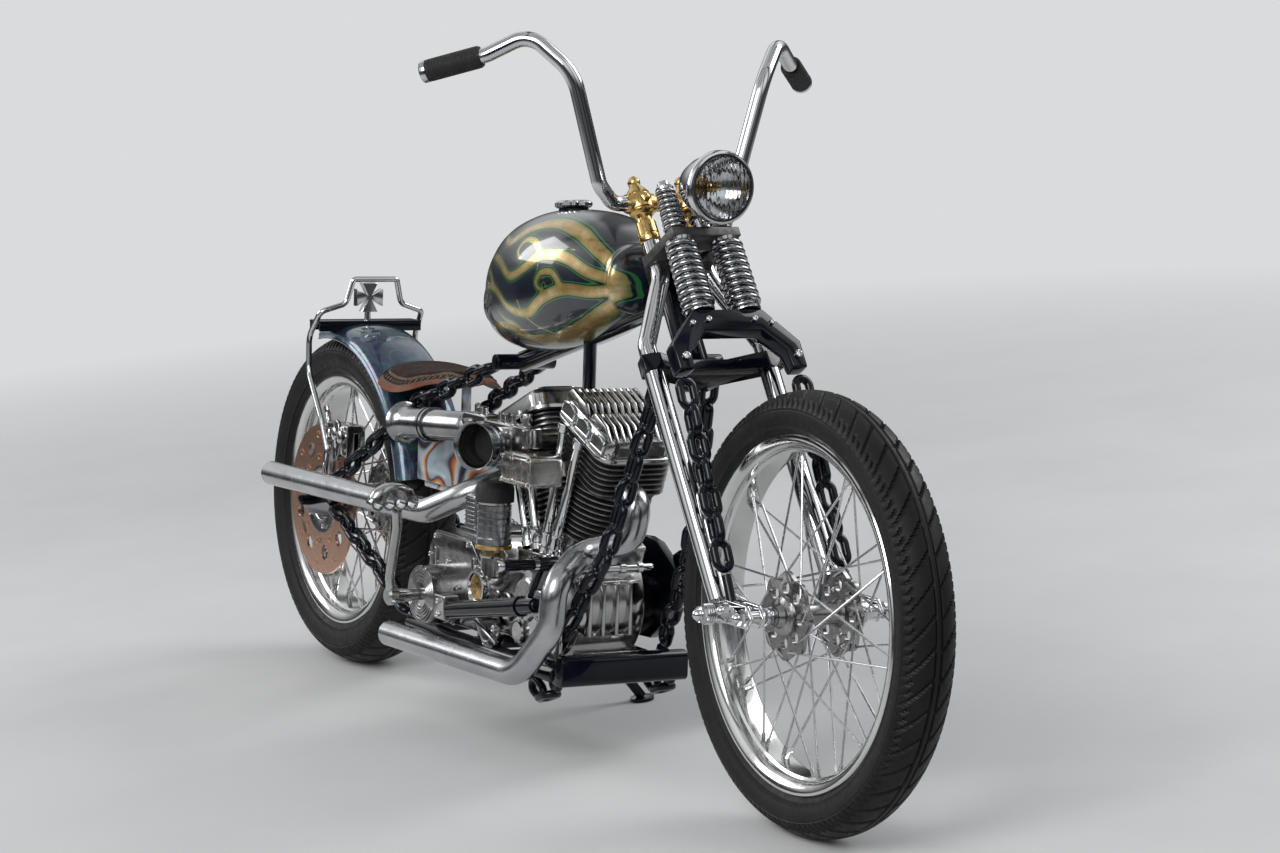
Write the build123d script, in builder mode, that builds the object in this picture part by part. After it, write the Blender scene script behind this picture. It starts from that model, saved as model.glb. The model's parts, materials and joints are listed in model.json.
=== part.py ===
from build123d import *
import os
from math import cos, hypot, pi, radians, sin

# A long, low chopper: V-twin engine, frame and springer fork legs of welded chain,
# spoked wheels, no rear suspension. Millimetres.
# Everything is modelled upright with X forward, Y to the rider's left, Z up and the
# origin on the ground under the rear axle. At the end it is leaned on its side stand.

# Wheels
wheelbase = 1659.0
front_tyre_radius = 347.0
front_tyre_half_width = 46.0
front_rim_radius = 278.0
front_rim_half_width = 34.0
rear_tyre_radius = 322.0
rear_tyre_half_width = 62.0
rear_rim_radius = 244.0
rear_rim_half_width = 45.0
rim_depth = 17.0
rim_wall = 4.0
spoke_count = 40
spoke_radius = 2.1
front_axle_radius = 9.5
rear_axle_radius = 10.0
running_clearance = 0.05

# Fork: the steering axis is parallel to the legs and behind them
rake = 34.0
leg_x = 1335.5
leg_z = 684.0
stem_offset = 45.0
leg_radius = 15.0
lower_leg_radius = 17.0
leg_top = 251.0
leg_top_spread = 44.5
leg_spread = 108.0
bend_top = 200.0
bend_bottom = 45.0
rocker_pivot_s = -415.0
link_pivot_x = 1600.0
link_pivot_z = 350.0
perch_ahead = 79.0
perch_s = 60.0
perch_foot = -34.0
spring_spread = 43.0
main_spring_radius = 24.0
rebound_spring_radius = 16.0
spring_top = 322.0
spring_rod_radius = 8.0
neck_radius = 25.0
neck_bottom = 45.0
neck_top = 205.0
stem_radius = 12.7
riser_clamp_s = 326.0
bar_radius = 12.7
grip_radius = 16.5
axle_half_length = 136.0
rocker_plate = 6.0
rear_pivot_radius = 7.9
link_pivot_radius = 6.9
eye_width = 15.0

# Chain links of the frame and of the fork's front legs
link_pitch = 44.0
link_wire = 12.0
link_width = 37.0
link_gap = 0.3

# Frame
backbone_radius = 19.0
backbone_rear_x = 672.0
backbone_rear_z = 650.0
rail_radius = 15.0
rail_height = 152.0
rail_spread = 112.0
rail_front_x = 1020.0
rail_rear_x = 505.0
cradle_x = 1058.0
cradle_height = 52.0
cradle_thickness = 36.0
axle_plate_thickness = 8.0

# Engine: two cylinders in a vee on one crankcase
crank_x = 916.0
crank_z = 263.0
vee_half_angle = 22.5
case_radius = 108.0
case_half_width = 62.0
cylinder_base = 132.0
cylinder_top = 236.0
head_top = 316.0
rocker_box_top = 372.0
cylinder_radius = 52.0
fin_radius = 75.0
rocker_half_length = 95.0
rocker_right = 86.0
rocker_left = 64.0
ridge_height = 12.0
ridge_count = 9
cover_depth = 48.0
boss_x = 792.0
magneto_x = 806.0
magneto_y = -120.0
pushrod_y = -84.0
pushrod_radius = 7.5
fin_thickness = 4.0
fin_count = 9

# Exhaust pipes, seat and pegs
pipe_radius = 22.5
pipe_sheet = 2.0
seat_base = 588.0
peg_radius = 9.5
peg_length = 64.0
peg_collar_radius = 12.5

# Side stand and lean
lean = 9.0
stand_pivot_x = 705.0
stand_pivot_y = 150.0
stand_pivot_z = 140.0
stand_tilt = 38.0
stand_forward = 14.0
stand_leg_radius = 9.0
stand_pin_radius = 6.0
stand_foot_radius = 22.0
stand_foot_thickness = 6.0

# Fork frame: local X forward of the legs' plane, local Y left, local Z up the legs
rake_sin = sin(radians(rake))
rake_cos = cos(radians(rake))
FORK = Plane(origin=(leg_x, 0, leg_z), x_dir=(rake_cos, 0, rake_sin), z_dir=(-rake_sin, 0, rake_cos))


def fork_point(ahead, left, up):
    """A point of the fork frame in the motorcycle's own frame."""
    return FORK.from_local_coords(Vector(ahead, left, up))


def fork_local(x, z):
    """How far a point lies ahead of the legs' plane and up along it."""
    there = FORK.to_local_coords(Vector(x, 0, z))
    return there.X, there.Z


pieces = []


def keep(part, name):
    """Put a finished piece on the list that is leaned and written at the end."""
    part.label = name
    pieces.append(part)


def round_bar(start, end, radius, sides=0, mode=Mode.ADD):
    """A straight bar between two points in the active part, round or with flat sides."""
    along = Vector(*end) - Vector(*start)
    with BuildSketch(Plane(origin=start, z_dir=along)) as section:
        if sides:
            RegularPolygon(radius, sides)
        else:
            Circle(radius)
    extrude(section.sketch, amount=along.length, mode=mode)


def bent_tube(points, bends, radius):
    """A tube along straight runs joined by tangent arcs, in the active part."""
    with BuildLine() as route:
        FilletPolyline(*points, radius=bends)
    with BuildSketch(Plane(origin=points[0], z_dir=Vector(*points[1]) - Vector(*points[0]))) as section:
        Circle(radius)
    sweep(section.sketch, path=route.line)


def chain_ring(middle, along, across, pitch):
    """A link stretched a little so that a whole number of links fills the run."""
    half_inner = (pitch - link_gap) / 2
    half_outer = half_inner + link_wire
    shoulder = half_outer - link_width * 0.35
    end_cut = link_width * 0.2
    plane = Plane(origin=middle, x_dir=along, z_dir=along.cross(across))
    with BuildSketch(plane.offset(-link_wire / 2)) as ring:
        with BuildLine():
            Polyline(
                (half_outer, end_cut),
                (shoulder, link_width / 2),
                (-shoulder, link_width / 2),
                (-half_outer, end_cut),
                (-half_outer, -end_cut),
                (-shoulder, -link_width / 2),
                (shoulder, -link_width / 2),
                (half_outer, -end_cut),
                close=True,
            )
        make_face()
        Rectangle(2 * half_inner, link_width - 2 * link_wire, mode=Mode.SUBTRACT)
    extrude(ring.sketch, amount=link_wire)


def chain_strand(points):
    """Welded chain along straight runs: every second link is a quarter turn on.

    The points are the planes where neighbouring links touch."""
    number = 0
    for start, end in zip(points, points[1:]):
        first, last = Vector(*start), Vector(*end)
        along = (last - first).normalized()
        run = (last - first).length
        count = max(2, round(run / link_pitch))
        pitch = run / count
        side = (Vector(0, 1, 0) - along * along.Y).normalized()
        for step in range(count):
            middle = first + along * (pitch * (step + 0.5))
            across = side if number % 2 == 0 else along.cross(side)
            chain_ring(middle, along, across, pitch)
            number += 1


def chain_lug(before, end, length, radius):
    """A lug on a strand's line that starts just past its last link."""
    along = (Vector(*end) - Vector(*before)).normalized()
    face = Vector(*end) + along * (link_wire + link_gap / 2)
    round_bar(face, face + along * length, radius)


def mirrored(points, side):
    """The points on the right (side -1) or the left (side 1), given with y outward."""
    return [(x, side * y, z) for x, y, z in points]


# Wheels, each on its own axle: tyre, rim, and a hub with its laced spokes
WHEELS = (
    # name, axle x, tyre radius, tyre half width, rim radius, rim half width,
    # hub barrel, flange radius, flange at y, end radius, hub half length, axle radius
    ("front", wheelbase, front_tyre_radius, front_tyre_half_width, front_rim_radius,
     front_rim_half_width, 21.0, 61.0, 44.0, 17.0, 78.0, front_axle_radius),
    ("rear", 0.0, rear_tyre_radius, rear_tyre_half_width, rear_rim_radius,
     rear_rim_half_width, 32.0, 62.0, 40.0, 46.0, 72.0, rear_axle_radius),
)
flange_thickness = 7.0
flange_hole = 9.0
for (wheel, axle_x, tyre_r, tyre_w, rim_r, rim_w, barrel, flange_r, flange_y, end_r, hub_half, axle_r) in WHEELS:
    hub_plane = Plane(origin=(axle_x, 0, tyre_r), x_dir=(0, 1, 0), z_dir=(1, 0, 0))
    axle = Axis((axle_x, 0, tyre_r), (0, 1, 0))

    with BuildPart() as tyre:
        with BuildSketch(hub_plane):
            with BuildLine():
                Polyline(
                    (-rim_w, rim_r + 2.0),
                    (-tyre_w, (rim_r + tyre_r) / 2),
                    (-tyre_w * 0.72, tyre_r - tyre_w * 0.30),
                    (0, tyre_r),
                    (tyre_w * 0.72, tyre_r - tyre_w * 0.30),
                    (tyre_w, (rim_r + tyre_r) / 2),
                    (rim_w, rim_r + 2.0),
                    close=True,
                )
            make_face()
        revolve(axis=axle)
    keep(tyre.part, f"{wheel}_tyre")

    with BuildPart() as rim:
        with BuildSketch(hub_plane):
            with BuildLine():
                Polyline(
                    (-rim_w, rim_r + 1.7),
                    (-rim_w, rim_r - rim_wall),
                    (-rim_w * 0.5, rim_r - rim_depth),
                    (rim_w * 0.5, rim_r - rim_depth),
                    (rim_w, rim_r - rim_wall),
                    (rim_w, rim_r + 1.7),
                    close=True,
                )
            make_face()
        revolve(axis=axle)
    keep(rim.part, f"{wheel}_rim")

    with BuildPart() as hub:
        with BuildSketch(hub_plane):
            with BuildLine():
                Polyline(
                    (-hub_half, axle_r + running_clearance),
                    (-hub_half, end_r),
                    (-hub_half + 5.0, end_r),
                    (-flange_y - flange_thickness - 4.0, barrel),
                    (-flange_y - flange_thickness, barrel),
                    (-flange_y - flange_thickness, flange_r),
                    (-flange_y, flange_r),
                    (-flange_y, barrel),
                    (flange_y, barrel),
                    (flange_y, flange_r),
                    (flange_y + flange_thickness, flange_r),
                    (flange_y + flange_thickness, barrel),
                    (flange_y + flange_thickness + 4.0, barrel),
                    (hub_half - 5.0, end_r),
                    (hub_half, end_r),
                    (hub_half, axle_r + running_clearance),
                    close=True,
                )
            make_face()
        revolve(axis=axle)
        # Each flange is pierced, and its rim stands out in flat lobes.
        for face_y in (-flange_y - flange_thickness, flange_y):
            with BuildSketch(Plane(origin=(axle_x, face_y + flange_thickness, tyre_r), z_dir=(0, -1, 0), x_dir=(1, 0, 0))):
                RegularPolygon(flange_r + 4.0, 10)
                Circle(barrel - 3.0, mode=Mode.SUBTRACT)
            extrude(amount=flange_thickness)
            with BuildSketch(Plane(origin=(axle_x, face_y + flange_thickness + 1.0, tyre_r), z_dir=(0, -1, 0), x_dir=(1, 0, 0))):
                with PolarLocations((barrel + flange_r) / 2 - 1.0, 5):
                    RegularPolygon(flange_hole, 6)
            extrude(amount=flange_thickness + 2.0, mode=Mode.SUBTRACT)
        # Spokes leave both faces of each flange and cross on their way to the rim.
        bed = rim_r - rim_depth - 0.8
        lace = flange_r - 6.0
        per_side = spoke_count // 2
        for number in range(spoke_count):
            left = 1 if number % 2 == 0 else -1
            rank = number // 2
            outer_face = rank % 2 == 0
            turn = 1 if outer_face else -1
            at_hub = 2 * pi * (rank + 0.5 * (left > 0)) / per_side
            at_rim = at_hub + turn * radians(62.0)
            face_y = flange_y + (flange_thickness + 1.0 if outer_face else -1.0)
            from_hub = (axle_x + lace * cos(at_hub), left * face_y, tyre_r + lace * sin(at_hub))
            to_rim = (axle_x + bed * cos(at_rim), left * 6.0, tyre_r + bed * sin(at_rim))
            round_bar(from_hub, to_rim, spoke_radius, sides=4)
    keep(hub.part, f"{wheel}_hub")

# Brake disc and sprocket on the rear hub
disc_radius = 146.0
disc_y = -80.0
disc_thickness = 5.0
with BuildPart() as brake_disc:
    with BuildSketch(Plane(origin=(0, disc_y, rear_tyre_radius), z_dir=(0, -1, 0))):
        Circle(disc_radius)
        Circle(27.0, mode=Mode.SUBTRACT)
        with PolarLocations(92.0, 6):
            RegularPolygon(24.0, 6, mode=Mode.SUBTRACT)
    extrude(amount=disc_thickness)
    with BuildSketch(Plane(origin=(0, -72.2, rear_tyre_radius), z_dir=(0, -1, 0))):
        RegularPolygon(44.0, 12)
        Circle(27.0, mode=Mode.SUBTRACT)
    extrude(amount=-72.2 - disc_y)
keep(brake_disc.part, "brake_disc")

sprocket_y = 78.0
sprocket_radius = 96.0
with BuildPart() as rear_sprocket:
    with BuildSketch(Plane(origin=(0, sprocket_y, rear_tyre_radius), z_dir=(0, 1, 0))):
        RegularPolygon(sprocket_radius, 24)
        Circle(27.0, mode=Mode.SUBTRACT)
    extrude(amount=6.0)
    with BuildSketch(Plane(origin=(0, 72.2, rear_tyre_radius), z_dir=(0, 1, 0))):
        RegularPolygon(44.0, 12)
        Circle(27.0, mode=Mode.SUBTRACT)
    extrude(amount=sprocket_y - 72.2)
keep(rear_sprocket.part, "rear_sprocket")

# Steering stem with the top clamp, and the lower crown
with BuildPart() as fork_stem:
    round_bar(fork_point(-stem_offset, 0, 8.0), fork_point(-stem_offset, 0, neck_top + 24.0), stem_radius)
    with BuildSketch(FORK.offset(neck_top + 3.0)):
        with BuildLine():
            Polyline(
                (-stem_offset - 24.0, -26.0),
                (-stem_offset - 24.0, 26.0),
                (-6.0, leg_top_spread + 22.0),
                (perch_ahead + 20.0, spring_spread + 20.0),
                (perch_ahead + 20.0, -spring_spread - 20.0),
                (-6.0, -leg_top_spread - 22.0),
                close=True,
            )
        make_face()
        with Locations((0, leg_top_spread), (0, -leg_top_spread)):
            Circle(leg_radius + running_clearance, mode=Mode.SUBTRACT)
        with Locations((perch_ahead, spring_spread), (perch_ahead, -spring_spread)):
            Circle(spring_rod_radius + running_clearance, mode=Mode.SUBTRACT)
        with Locations((28, 0)):
            Rectangle(44.0, 60.0, mode=Mode.SUBTRACT)
    extrude(amount=16.0)
keep(fork_stem.part, "fork_stem")

with BuildPart() as lower_crown:
    with BuildSketch(FORK.offset(8.0)):
        with BuildLine():
            Polyline(
                (-stem_offset - 22.0, -24.0),
                (-stem_offset - 22.0, 24.0),
                (-stem_offset, 36.0),
                (-20.0, 64.0),
                (-20.0, leg_spread + 14.0),
                (12.0, leg_spread + 22.0),
                (20.0, leg_spread - 8.0),
                (-8.0, 40.0),
                (-8.0, -40.0),
                (20.0, -leg_spread + 8.0),
                (12.0, -leg_spread - 22.0),
                (-20.0, -leg_spread - 14.0),
                (-20.0, -64.0),
                (-stem_offset, -36.0),
                close=True,
            )
        make_face()
        with Locations((0, leg_spread), (0, -leg_spread)):
            Circle(lower_leg_radius + running_clearance, mode=Mode.SUBTRACT)
        with Locations((-stem_offset, 0)):
            Circle(stem_radius + running_clearance, mode=Mode.SUBTRACT)
    extrude(amount=30.0)
keep(lower_crown.part, "lower_crown")

# Rear fork legs: narrow at the top, bent out to the lower crown, straight to the rockers
with BuildPart() as rear_fork_legs:
    for side in (-1, 1):
        bent_tube(
            [
                fork_point(0, side * leg_top_spread, leg_top),
                fork_point(0, side * leg_top_spread, bend_top - 14.0),
                fork_point(0, side * leg_spread, bend_bottom + 14.0),
                fork_point(0, side * leg_spread, 20.0),
            ],
            [55.0, 30.0],
            leg_radius,
        )
        round_bar(
            fork_point(0, side * leg_spread, 38.5),
            fork_point(0, side * leg_spread, rocker_pivot_s + 21.0),
            lower_leg_radius,
        )
        round_bar(
            fork_point(0, side * leg_spread, rocker_pivot_s + 24.0),
            fork_point(0, side * leg_spread, rocker_pivot_s + 10.0),
            eye_width / 2 - 0.8,
        )
        with BuildSketch(Plane(origin=fork_point(0, side * leg_spread - eye_width / 2, rocker_pivot_s), z_dir=(0, 1, 0))):
            Circle(16.0)
            Circle(rear_pivot_radius + running_clearance, mode=Mode.SUBTRACT)
        extrude(amount=eye_width)
keep(rear_fork_legs.part, "rear_fork_legs")

# Spring perch: the black bridge that carries the chain legs and the springs
with BuildPart() as spring_perch:
    with BuildSketch(Plane(origin=fork_point(perch_ahead - 15.0, 0, 0), x_dir=(0, 1, 0), z_dir=(rake_cos, 0, rake_sin))):
        with BuildLine():
            Polyline(
                (-64.0, perch_s + 14.0),
                (64.0, perch_s + 14.0),
                (118.0, 14.0),
                (118.0, perch_foot),
                (92.0, perch_foot),
                (88.0, -2.0),
                (52.0, 34.0),
                (-52.0, 34.0),
                (-88.0, -2.0),
                (-92.0, perch_foot),
                (-118.0, perch_foot),
                (-118.0, 14.0),
                close=True,
            )
        make_face()
    extrude(amount=30.0)
keep(spring_perch.part, "spring_perch")

# Chain front legs of the fork, from the perch to the rockers
link_ahead, link_s = fork_local(link_pivot_x, link_pivot_z)
link_start = (perch_ahead, perch_foot - 13.2)
leg_slant = (link_ahead - link_start[0]) / (link_s - link_start[1])
rod_top = link_s + 66.0
rod_ahead = link_ahead + leg_slant * (rod_top - link_s)
with BuildPart() as chain_fork_legs:
    for side in (-1, 1):
        chain_top = fork_point(link_start[0], side * leg_spread, link_start[1])
        chain_end = fork_point(rod_ahead, side * leg_spread, rod_top)
        chain_strand([chain_top, chain_end])
        chain_lug(chain_top, chain_end, 42.0, 7.0)
        with BuildSketch(Plane(origin=(link_pivot_x, side * leg_spread - eye_width / 2, link_pivot_z), z_dir=(0, 1, 0))):
            Circle(14.0)
            Circle(link_pivot_radius + running_clearance, mode=Mode.SUBTRACT)
        extrude(amount=eye_width)
keep(chain_fork_legs.part, "chain_fork_legs")

# Springs: rebound spring above the tie, main spring below, on one rod each
with BuildPart() as fork_springs:
    for side in (-1, 1):
        for low, high, coils, coil_r in (
            (perch_s + 14.3, neck_top + 2.7, 6, main_spring_radius),
            (neck_top + 19.3, spring_top - 14.0, 5, rebound_spring_radius),
        ):
            pitch = (high - low) / coils
            for coil in range(coils):
                base = low + pitch * coil
                round_bar(
                    fork_point(perch_ahead, side * spring_spread, base),
                    fork_point(perch_ahead, side * spring_spread, base + pitch * (1.0 if coil == coils - 1 else 0.55)),
                    coil_r,
                    sides=12,
                )
        round_bar(
            fork_point(perch_ahead, side * spring_spread, perch_s + 14.3),
            fork_point(perch_ahead, side * spring_spread, spring_top),
            spring_rod_radius,
        )
keep(fork_springs.part, "fork_springs")

# Rockers: rear pivot on the leg, middle pivot on the chain leg, axle at the front
axle_ahead, axle_s = fork_local(wheelbase, front_tyre_radius)
rocker_rear = fork_point(0, 0, rocker_pivot_s)
with BuildPart() as fork_rockers:
    plate_gap = eye_width / 2 + 0.3
    for side in (-1, 1):
        for middle in (side * (leg_spread - plate_gap - rocker_plate / 2), side * (leg_spread + plate_gap + rocker_plate / 2)):
            with BuildSketch(Plane(origin=(0, middle, 0), x_dir=(1, 0, 0), z_dir=(0, -1, 0))):
                with BuildLine():
                    Polyline(
                        (rocker_rear.X - 14, rocker_rear.Z - 14),
                        (link_pivot_x, link_pivot_z - 20),
                        (wheelbase, front_tyre_radius - 18),
                        (wheelbase + 15, front_tyre_radius),
                        (wheelbase, front_tyre_radius + 18),
                        (link_pivot_x, link_pivot_z + 16),
                        (rocker_rear.X - 14, rocker_rear.Z + 14),
                        close=True,
                    )
                make_face()
            extrude(amount=rocker_plate / 2, both=True)
        for pivot_x, pivot_z, pin, reach in (
            (rocker_rear.X, rocker_rear.Z, rear_pivot_radius, 150.0),
            (link_pivot_x, link_pivot_z, link_pivot_radius, 128.0),
        ):
            round_bar((pivot_x, side * 92.0, pivot_z), (pivot_x, side * reach, pivot_z), pin)
        round_bar((wheelbase, side * 78.3, front_tyre_radius), (wheelbase, side * 96.0, front_tyre_radius), 15.0)
    round_bar(
        (wheelbase, -axle_half_length, front_tyre_radius),
        (wheelbase, axle_half_length, front_tyre_radius),
        front_axle_radius,
    )
keep(fork_rockers.part, "fork_rockers")

# Headlight on its bracket ahead of the springs
lamp_x = 1341.0
lamp_z = 990.0
lamp_radius = 60.0
with BuildPart() as headlight:
    with BuildSketch(Plane.XZ):
        with BuildLine():
            Polyline(
                (lamp_x - 92.0, lamp_z),
                (lamp_x - 86.0, lamp_z + 26.0),
                (lamp_x - 50.0, lamp_z + 48.0),
                (lamp_x - 14.0, lamp_z + 55.0),
                (lamp_x - 12.0, lamp_z + lamp_radius),
                (lamp_x, lamp_z + lamp_radius),
                (lamp_x + 6.0, lamp_z + 48.0),
                (lamp_x + 10.0, lamp_z),
                close=True,
            )
        make_face()
    revolve(axis=Axis((lamp_x, 0, lamp_z), (1, 0, 0)))
    with BuildSketch(FORK.offset(neck_top + 19.3)):
        with Locations((perch_ahead + 9.0, 0)):
            Rectangle(20.0, 40.0)
    extrude(amount=8.0)
    round_bar(fork_point(perch_ahead + 9.0, 0, neck_top + 28.0), (lamp_x - 45.0, 0, lamp_z - 30.0), 9.0)
keep(headlight.part, "headlight")

# Risers on the tops of the legs, with the clamps that hold the bar
with BuildPart() as handlebar_risers:
    for side in (-1, 1):
        riser = Plane(origin=fork_point(0, side * leg_top_spread, 0), x_dir=FORK.x_dir, z_dir=(0, -1, 0))
        with BuildSketch(riser):
            with BuildLine():
                Polyline(
                    (0, leg_top + 0.2),
                    (17.0, leg_top + 0.2),
                    (17.0, leg_top + 42.0),
                    (13.0, leg_top + 48.0),
                    (22.0, riser_clamp_s - 16.0),
                    (22.0, riser_clamp_s + 18.0),
                    (12.0, riser_clamp_s + 30.0),
                    (11.0, riser_clamp_s + 42.0),
                    (5.0, riser_clamp_s + 52.0),
                    (0, riser_clamp_s + 52.0),
                    close=True,
                )
            make_face()
        revolve(axis=Axis(riser.origin, FORK.z_dir))
    clamp = fork_point(0, 0, riser_clamp_s)
    bore = bar_radius + running_clearance
    round_bar((clamp.X, -90, clamp.Z), (clamp.X, 90, clamp.Z), bore, mode=Mode.SUBTRACT)
keep(handlebar_risers.part, "handlebar_risers")

bar_path = (
    # x, y, z of the right half, from the clamp to the grip's end
    (clamp.X, -95.0, clamp.Z),
    (1166.0, -128.0, 985.0),
    (1162.0, -180.0, 1165.0),
    (1112.0, -236.0, 1226.0),
    (1066.0, -290.0, 1190.0),
    (989.0, -362.0, 1160.0),
)
bar_bends = (30.0, 30.0, 85.0, 45.0, 60.0)
with BuildPart() as handlebar:
    left_half = [(x, -y, z) for x, y, z in bar_path]
    bent_tube(list(bar_path[::-1]) + left_half, list(bar_bends[::-1]) + list(bar_bends), bar_radius)
keep(handlebar.part, "handlebar")


with BuildPart() as grips:
    for side in (-1, 1):
        ends = [Vector(x, -side * y, z) for x, y, z in bar_path[-2:]]
        out = (ends[1] - ends[0]).normalized()
        tip = ends[1] + out * 6.0
        root = ends[1] - out * 100.0
        round_bar(root, tip, grip_radius)
        round_bar(root - out, ends[1] + out * 0.3, bar_radius + running_clearance, mode=Mode.SUBTRACT)
keep(grips.part, "grips")

# Frame: steering neck, backbone, engine post, and the cross bar that the chain rails start from
backbone_start = fork_point(-stem_offset, 0, neck_top - 34.0)
backbone_rear = Vector(backbone_rear_x, 0, backbone_rear_z)
backbone_slope = (backbone_start.Z - backbone_rear.Z) / (backbone_start.X - backbone_rear.X)


def backbone_z(x):
    """Height of the backbone's centre line at a distance forward."""
    return backbone_rear.Z + (x - backbone_rear.X) * backbone_slope


low_neck = fork_point(-stem_offset - 12.0, 0, neck_bottom + 14.0)
# Strands of chain that make the frame, with y given outward: down from the neck,
# back along the seat, and the lower stays
DOWN_STRAND = ((low_neck.X - 11.0, 46.0, low_neck.Z - 28.0), (1142.0, 80.0, 372.0), (1018.0, 106.0, 194.0))
SEAT_STRAND = ((backbone_rear_x - 28.0, 45.0, backbone_rear_z - 10.0), (390.0, 80.0, 546.0), (117.0, 108.0, rear_tyre_radius + 52.0))
STAY_STRAND = ((117.0, 108.0, rear_tyre_radius - 2.0), (474.0, 119.0, 176.0))
with BuildPart() as frame_neck:
    round_bar(fork_point(-stem_offset, 0, neck_bottom), fork_point(-stem_offset, 0, neck_top), neck_radius)
    round_bar(backbone_start, backbone_rear, backbone_radius)
    round_bar((backbone_rear.X, -58, backbone_rear.Z), (backbone_rear.X, 58, backbone_rear.Z), 14.0)
    round_bar((crank_x, 0, backbone_z(crank_x)), (crank_x, 0, crank_z + 300.0), 11.5)
    round_bar((low_neck.X, -58, low_neck.Z), (low_neck.X, 58, low_neck.Z), 13.0)
    for side in (-1, 1):
        for strand in (mirrored(DOWN_STRAND, side), mirrored(SEAT_STRAND, side)):
            chain_lug(strand[1], strand[0], 14.0, 9.0)
    round_bar(
        fork_point(-stem_offset, 0, neck_bottom - 1.0),
        fork_point(-stem_offset, 0, neck_top + 1.0),
        stem_radius + running_clearance,
        mode=Mode.SUBTRACT,
    )
keep(frame_neck.part, "frame_neck")

with BuildPart() as chain_down_tubes:
    for side in (-1, 1):
        chain_strand(mirrored(DOWN_STRAND, side))
keep(chain_down_tubes.part, "chain_down_tubes")

with BuildPart() as chain_seat_rails:
    for side in (-1, 1):
        chain_strand(mirrored(SEAT_STRAND, side))
keep(chain_seat_rails.part, "chain_seat_rails")

with BuildPart() as chain_stays:
    for side in (-1, 1):
        chain_strand(mirrored(STAY_STRAND, side))
keep(chain_stays.part, "chain_stays")

# Lower rails with the front cross box, the cross members and the side stand's bracket
stand_axis = Vector(0, cos(radians(stand_tilt)), sin(radians(stand_tilt)))
stand_out = Vector(0, sin(radians(stand_tilt)), -cos(radians(stand_tilt)))
stand_pivot = Vector(stand_pivot_x, stand_pivot_y, stand_pivot_z)
with BuildPart() as lower_frame:
    for side in (-1, 1):
        round_bar(
            (rail_rear_x - 12.0, side * 122.0, rail_height + 6.0),
            (rail_front_x + 20.0, side * rail_spread, rail_height),
            rail_radius,
        )
        down, stay = mirrored(DOWN_STRAND, side), mirrored(STAY_STRAND, side)
        chain_lug(down[1], down[2], 24.0, 10.0)
        chain_lug(stay[0], stay[1], 14.0, 9.0)
    with Locations((cradle_x, 0, rail_height + 10.0)):
        Box(cradle_thickness, 2 * rail_spread + 20.0, cradle_height)
    for member_x, member_top in ((508.0, 162.0), (700.0, 162.0), (850.0, 162.7)):
        with Locations((member_x, 0, member_top)):
            Box(30.0, 2 * rail_spread, 20.0, align=(Align.CENTER, Align.CENTER, Align.MAX))
    round_bar((508.0, 0, 150.0), (508.0, 0, 395.7), 10.0)
    with Locations((stand_pivot_x, 119.0, stand_pivot_z - 2.0)):
        Box(30.0, 22.0, 30.0)
    round_bar(stand_pivot - stand_axis * 38.0, stand_pivot - stand_axis * 9.3, 14.0)
    round_bar(stand_pivot - stand_axis * 12.0, stand_pivot + stand_axis * 12.0, stand_pin_radius)
    round_bar(stand_pivot + stand_axis * 9.3, stand_pivot + stand_axis * 13.0, 9.0)
keep(lower_frame.part, "lower_frame")

# Rear axle plates with the axle and its spacers
with BuildPart() as axle_plates:
    for side in (-1, 1):
        with BuildSketch(Plane(origin=(0, side * 108.0, 0), x_dir=(1, 0, 0), z_dir=(0, -1, 0))):
            with BuildLine():
                Polyline(
                    (-26, rear_tyre_radius - 16),
                    (-26, rear_tyre_radius + 16),
                    (60, rear_tyre_radius + 56),
                    (100, rear_tyre_radius + 56),
                    (100, rear_tyre_radius - 18),
                    (60, rear_tyre_radius - 22),
                    (0, rear_tyre_radius - 26),
                    close=True,
                )
            make_face()
        extrude(amount=axle_plate_thickness / 2, both=True)
        seat_run, stay = mirrored(SEAT_STRAND, side), mirrored(STAY_STRAND, side)
        chain_lug(seat_run[1], seat_run[2], 14.0, 9.0)
        chain_lug(stay[1], stay[0], 14.0, 9.0)
        round_bar((0, side * 72.3, rear_tyre_radius), (0, side * 106.0, rear_tyre_radius), 16.0)
    round_bar((0, -132.0, rear_tyre_radius), (0, 132.0, rear_tyre_radius), rear_axle_radius)
keep(axle_plates.part, "axle_plates")

# Engine: crankcase, cylinders with heads, rocker boxes
ENGINE = Plane(origin=(crank_x, 0, crank_z), x_dir=(1, 0, 0), z_dir=(0, -1, 0))


def on_cylinder(lean_angle, up, across=0.0):
    """A point in the engine's side view: up along a cylinder's axis and across it, forward positive."""
    turn = radians(lean_angle)
    return crank_x + up * sin(turn) + across * cos(turn), crank_z + up * cos(turn) - across * sin(turn)


with BuildPart() as crankcase:
    with BuildSketch(ENGINE):
        Circle(case_radius)
        for angle in (vee_half_angle, -vee_half_angle):
            left_side = -62.0 if angle < 0 else -53.0
            right_side = 53.0 if angle < 0 else 62.0
            with BuildLine(Plane.XY.rotated((0, 0, -angle))):
                Polyline(
                    (left_side, 0),
                    (left_side, cylinder_base - 0.2),
                    (right_side, cylinder_base - 0.2),
                    (right_side, 0),
                    close=True,
                )
            make_face()
        with Locations((-60, -70)):
            Rectangle(150, 60)
        with Locations((104, -88)):
            Rectangle(39.4, 24)
    extrude(amount=case_half_width, both=True)
    for rib_y in (-46.0, -20.0, 6.0, 32.0):
        with Locations((crank_x + case_radius - 6.0, rib_y, crank_z - 6.0)):
            Box(24.0, 7.0, 92.0)
keep(crankcase.part, "crankcase")

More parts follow.
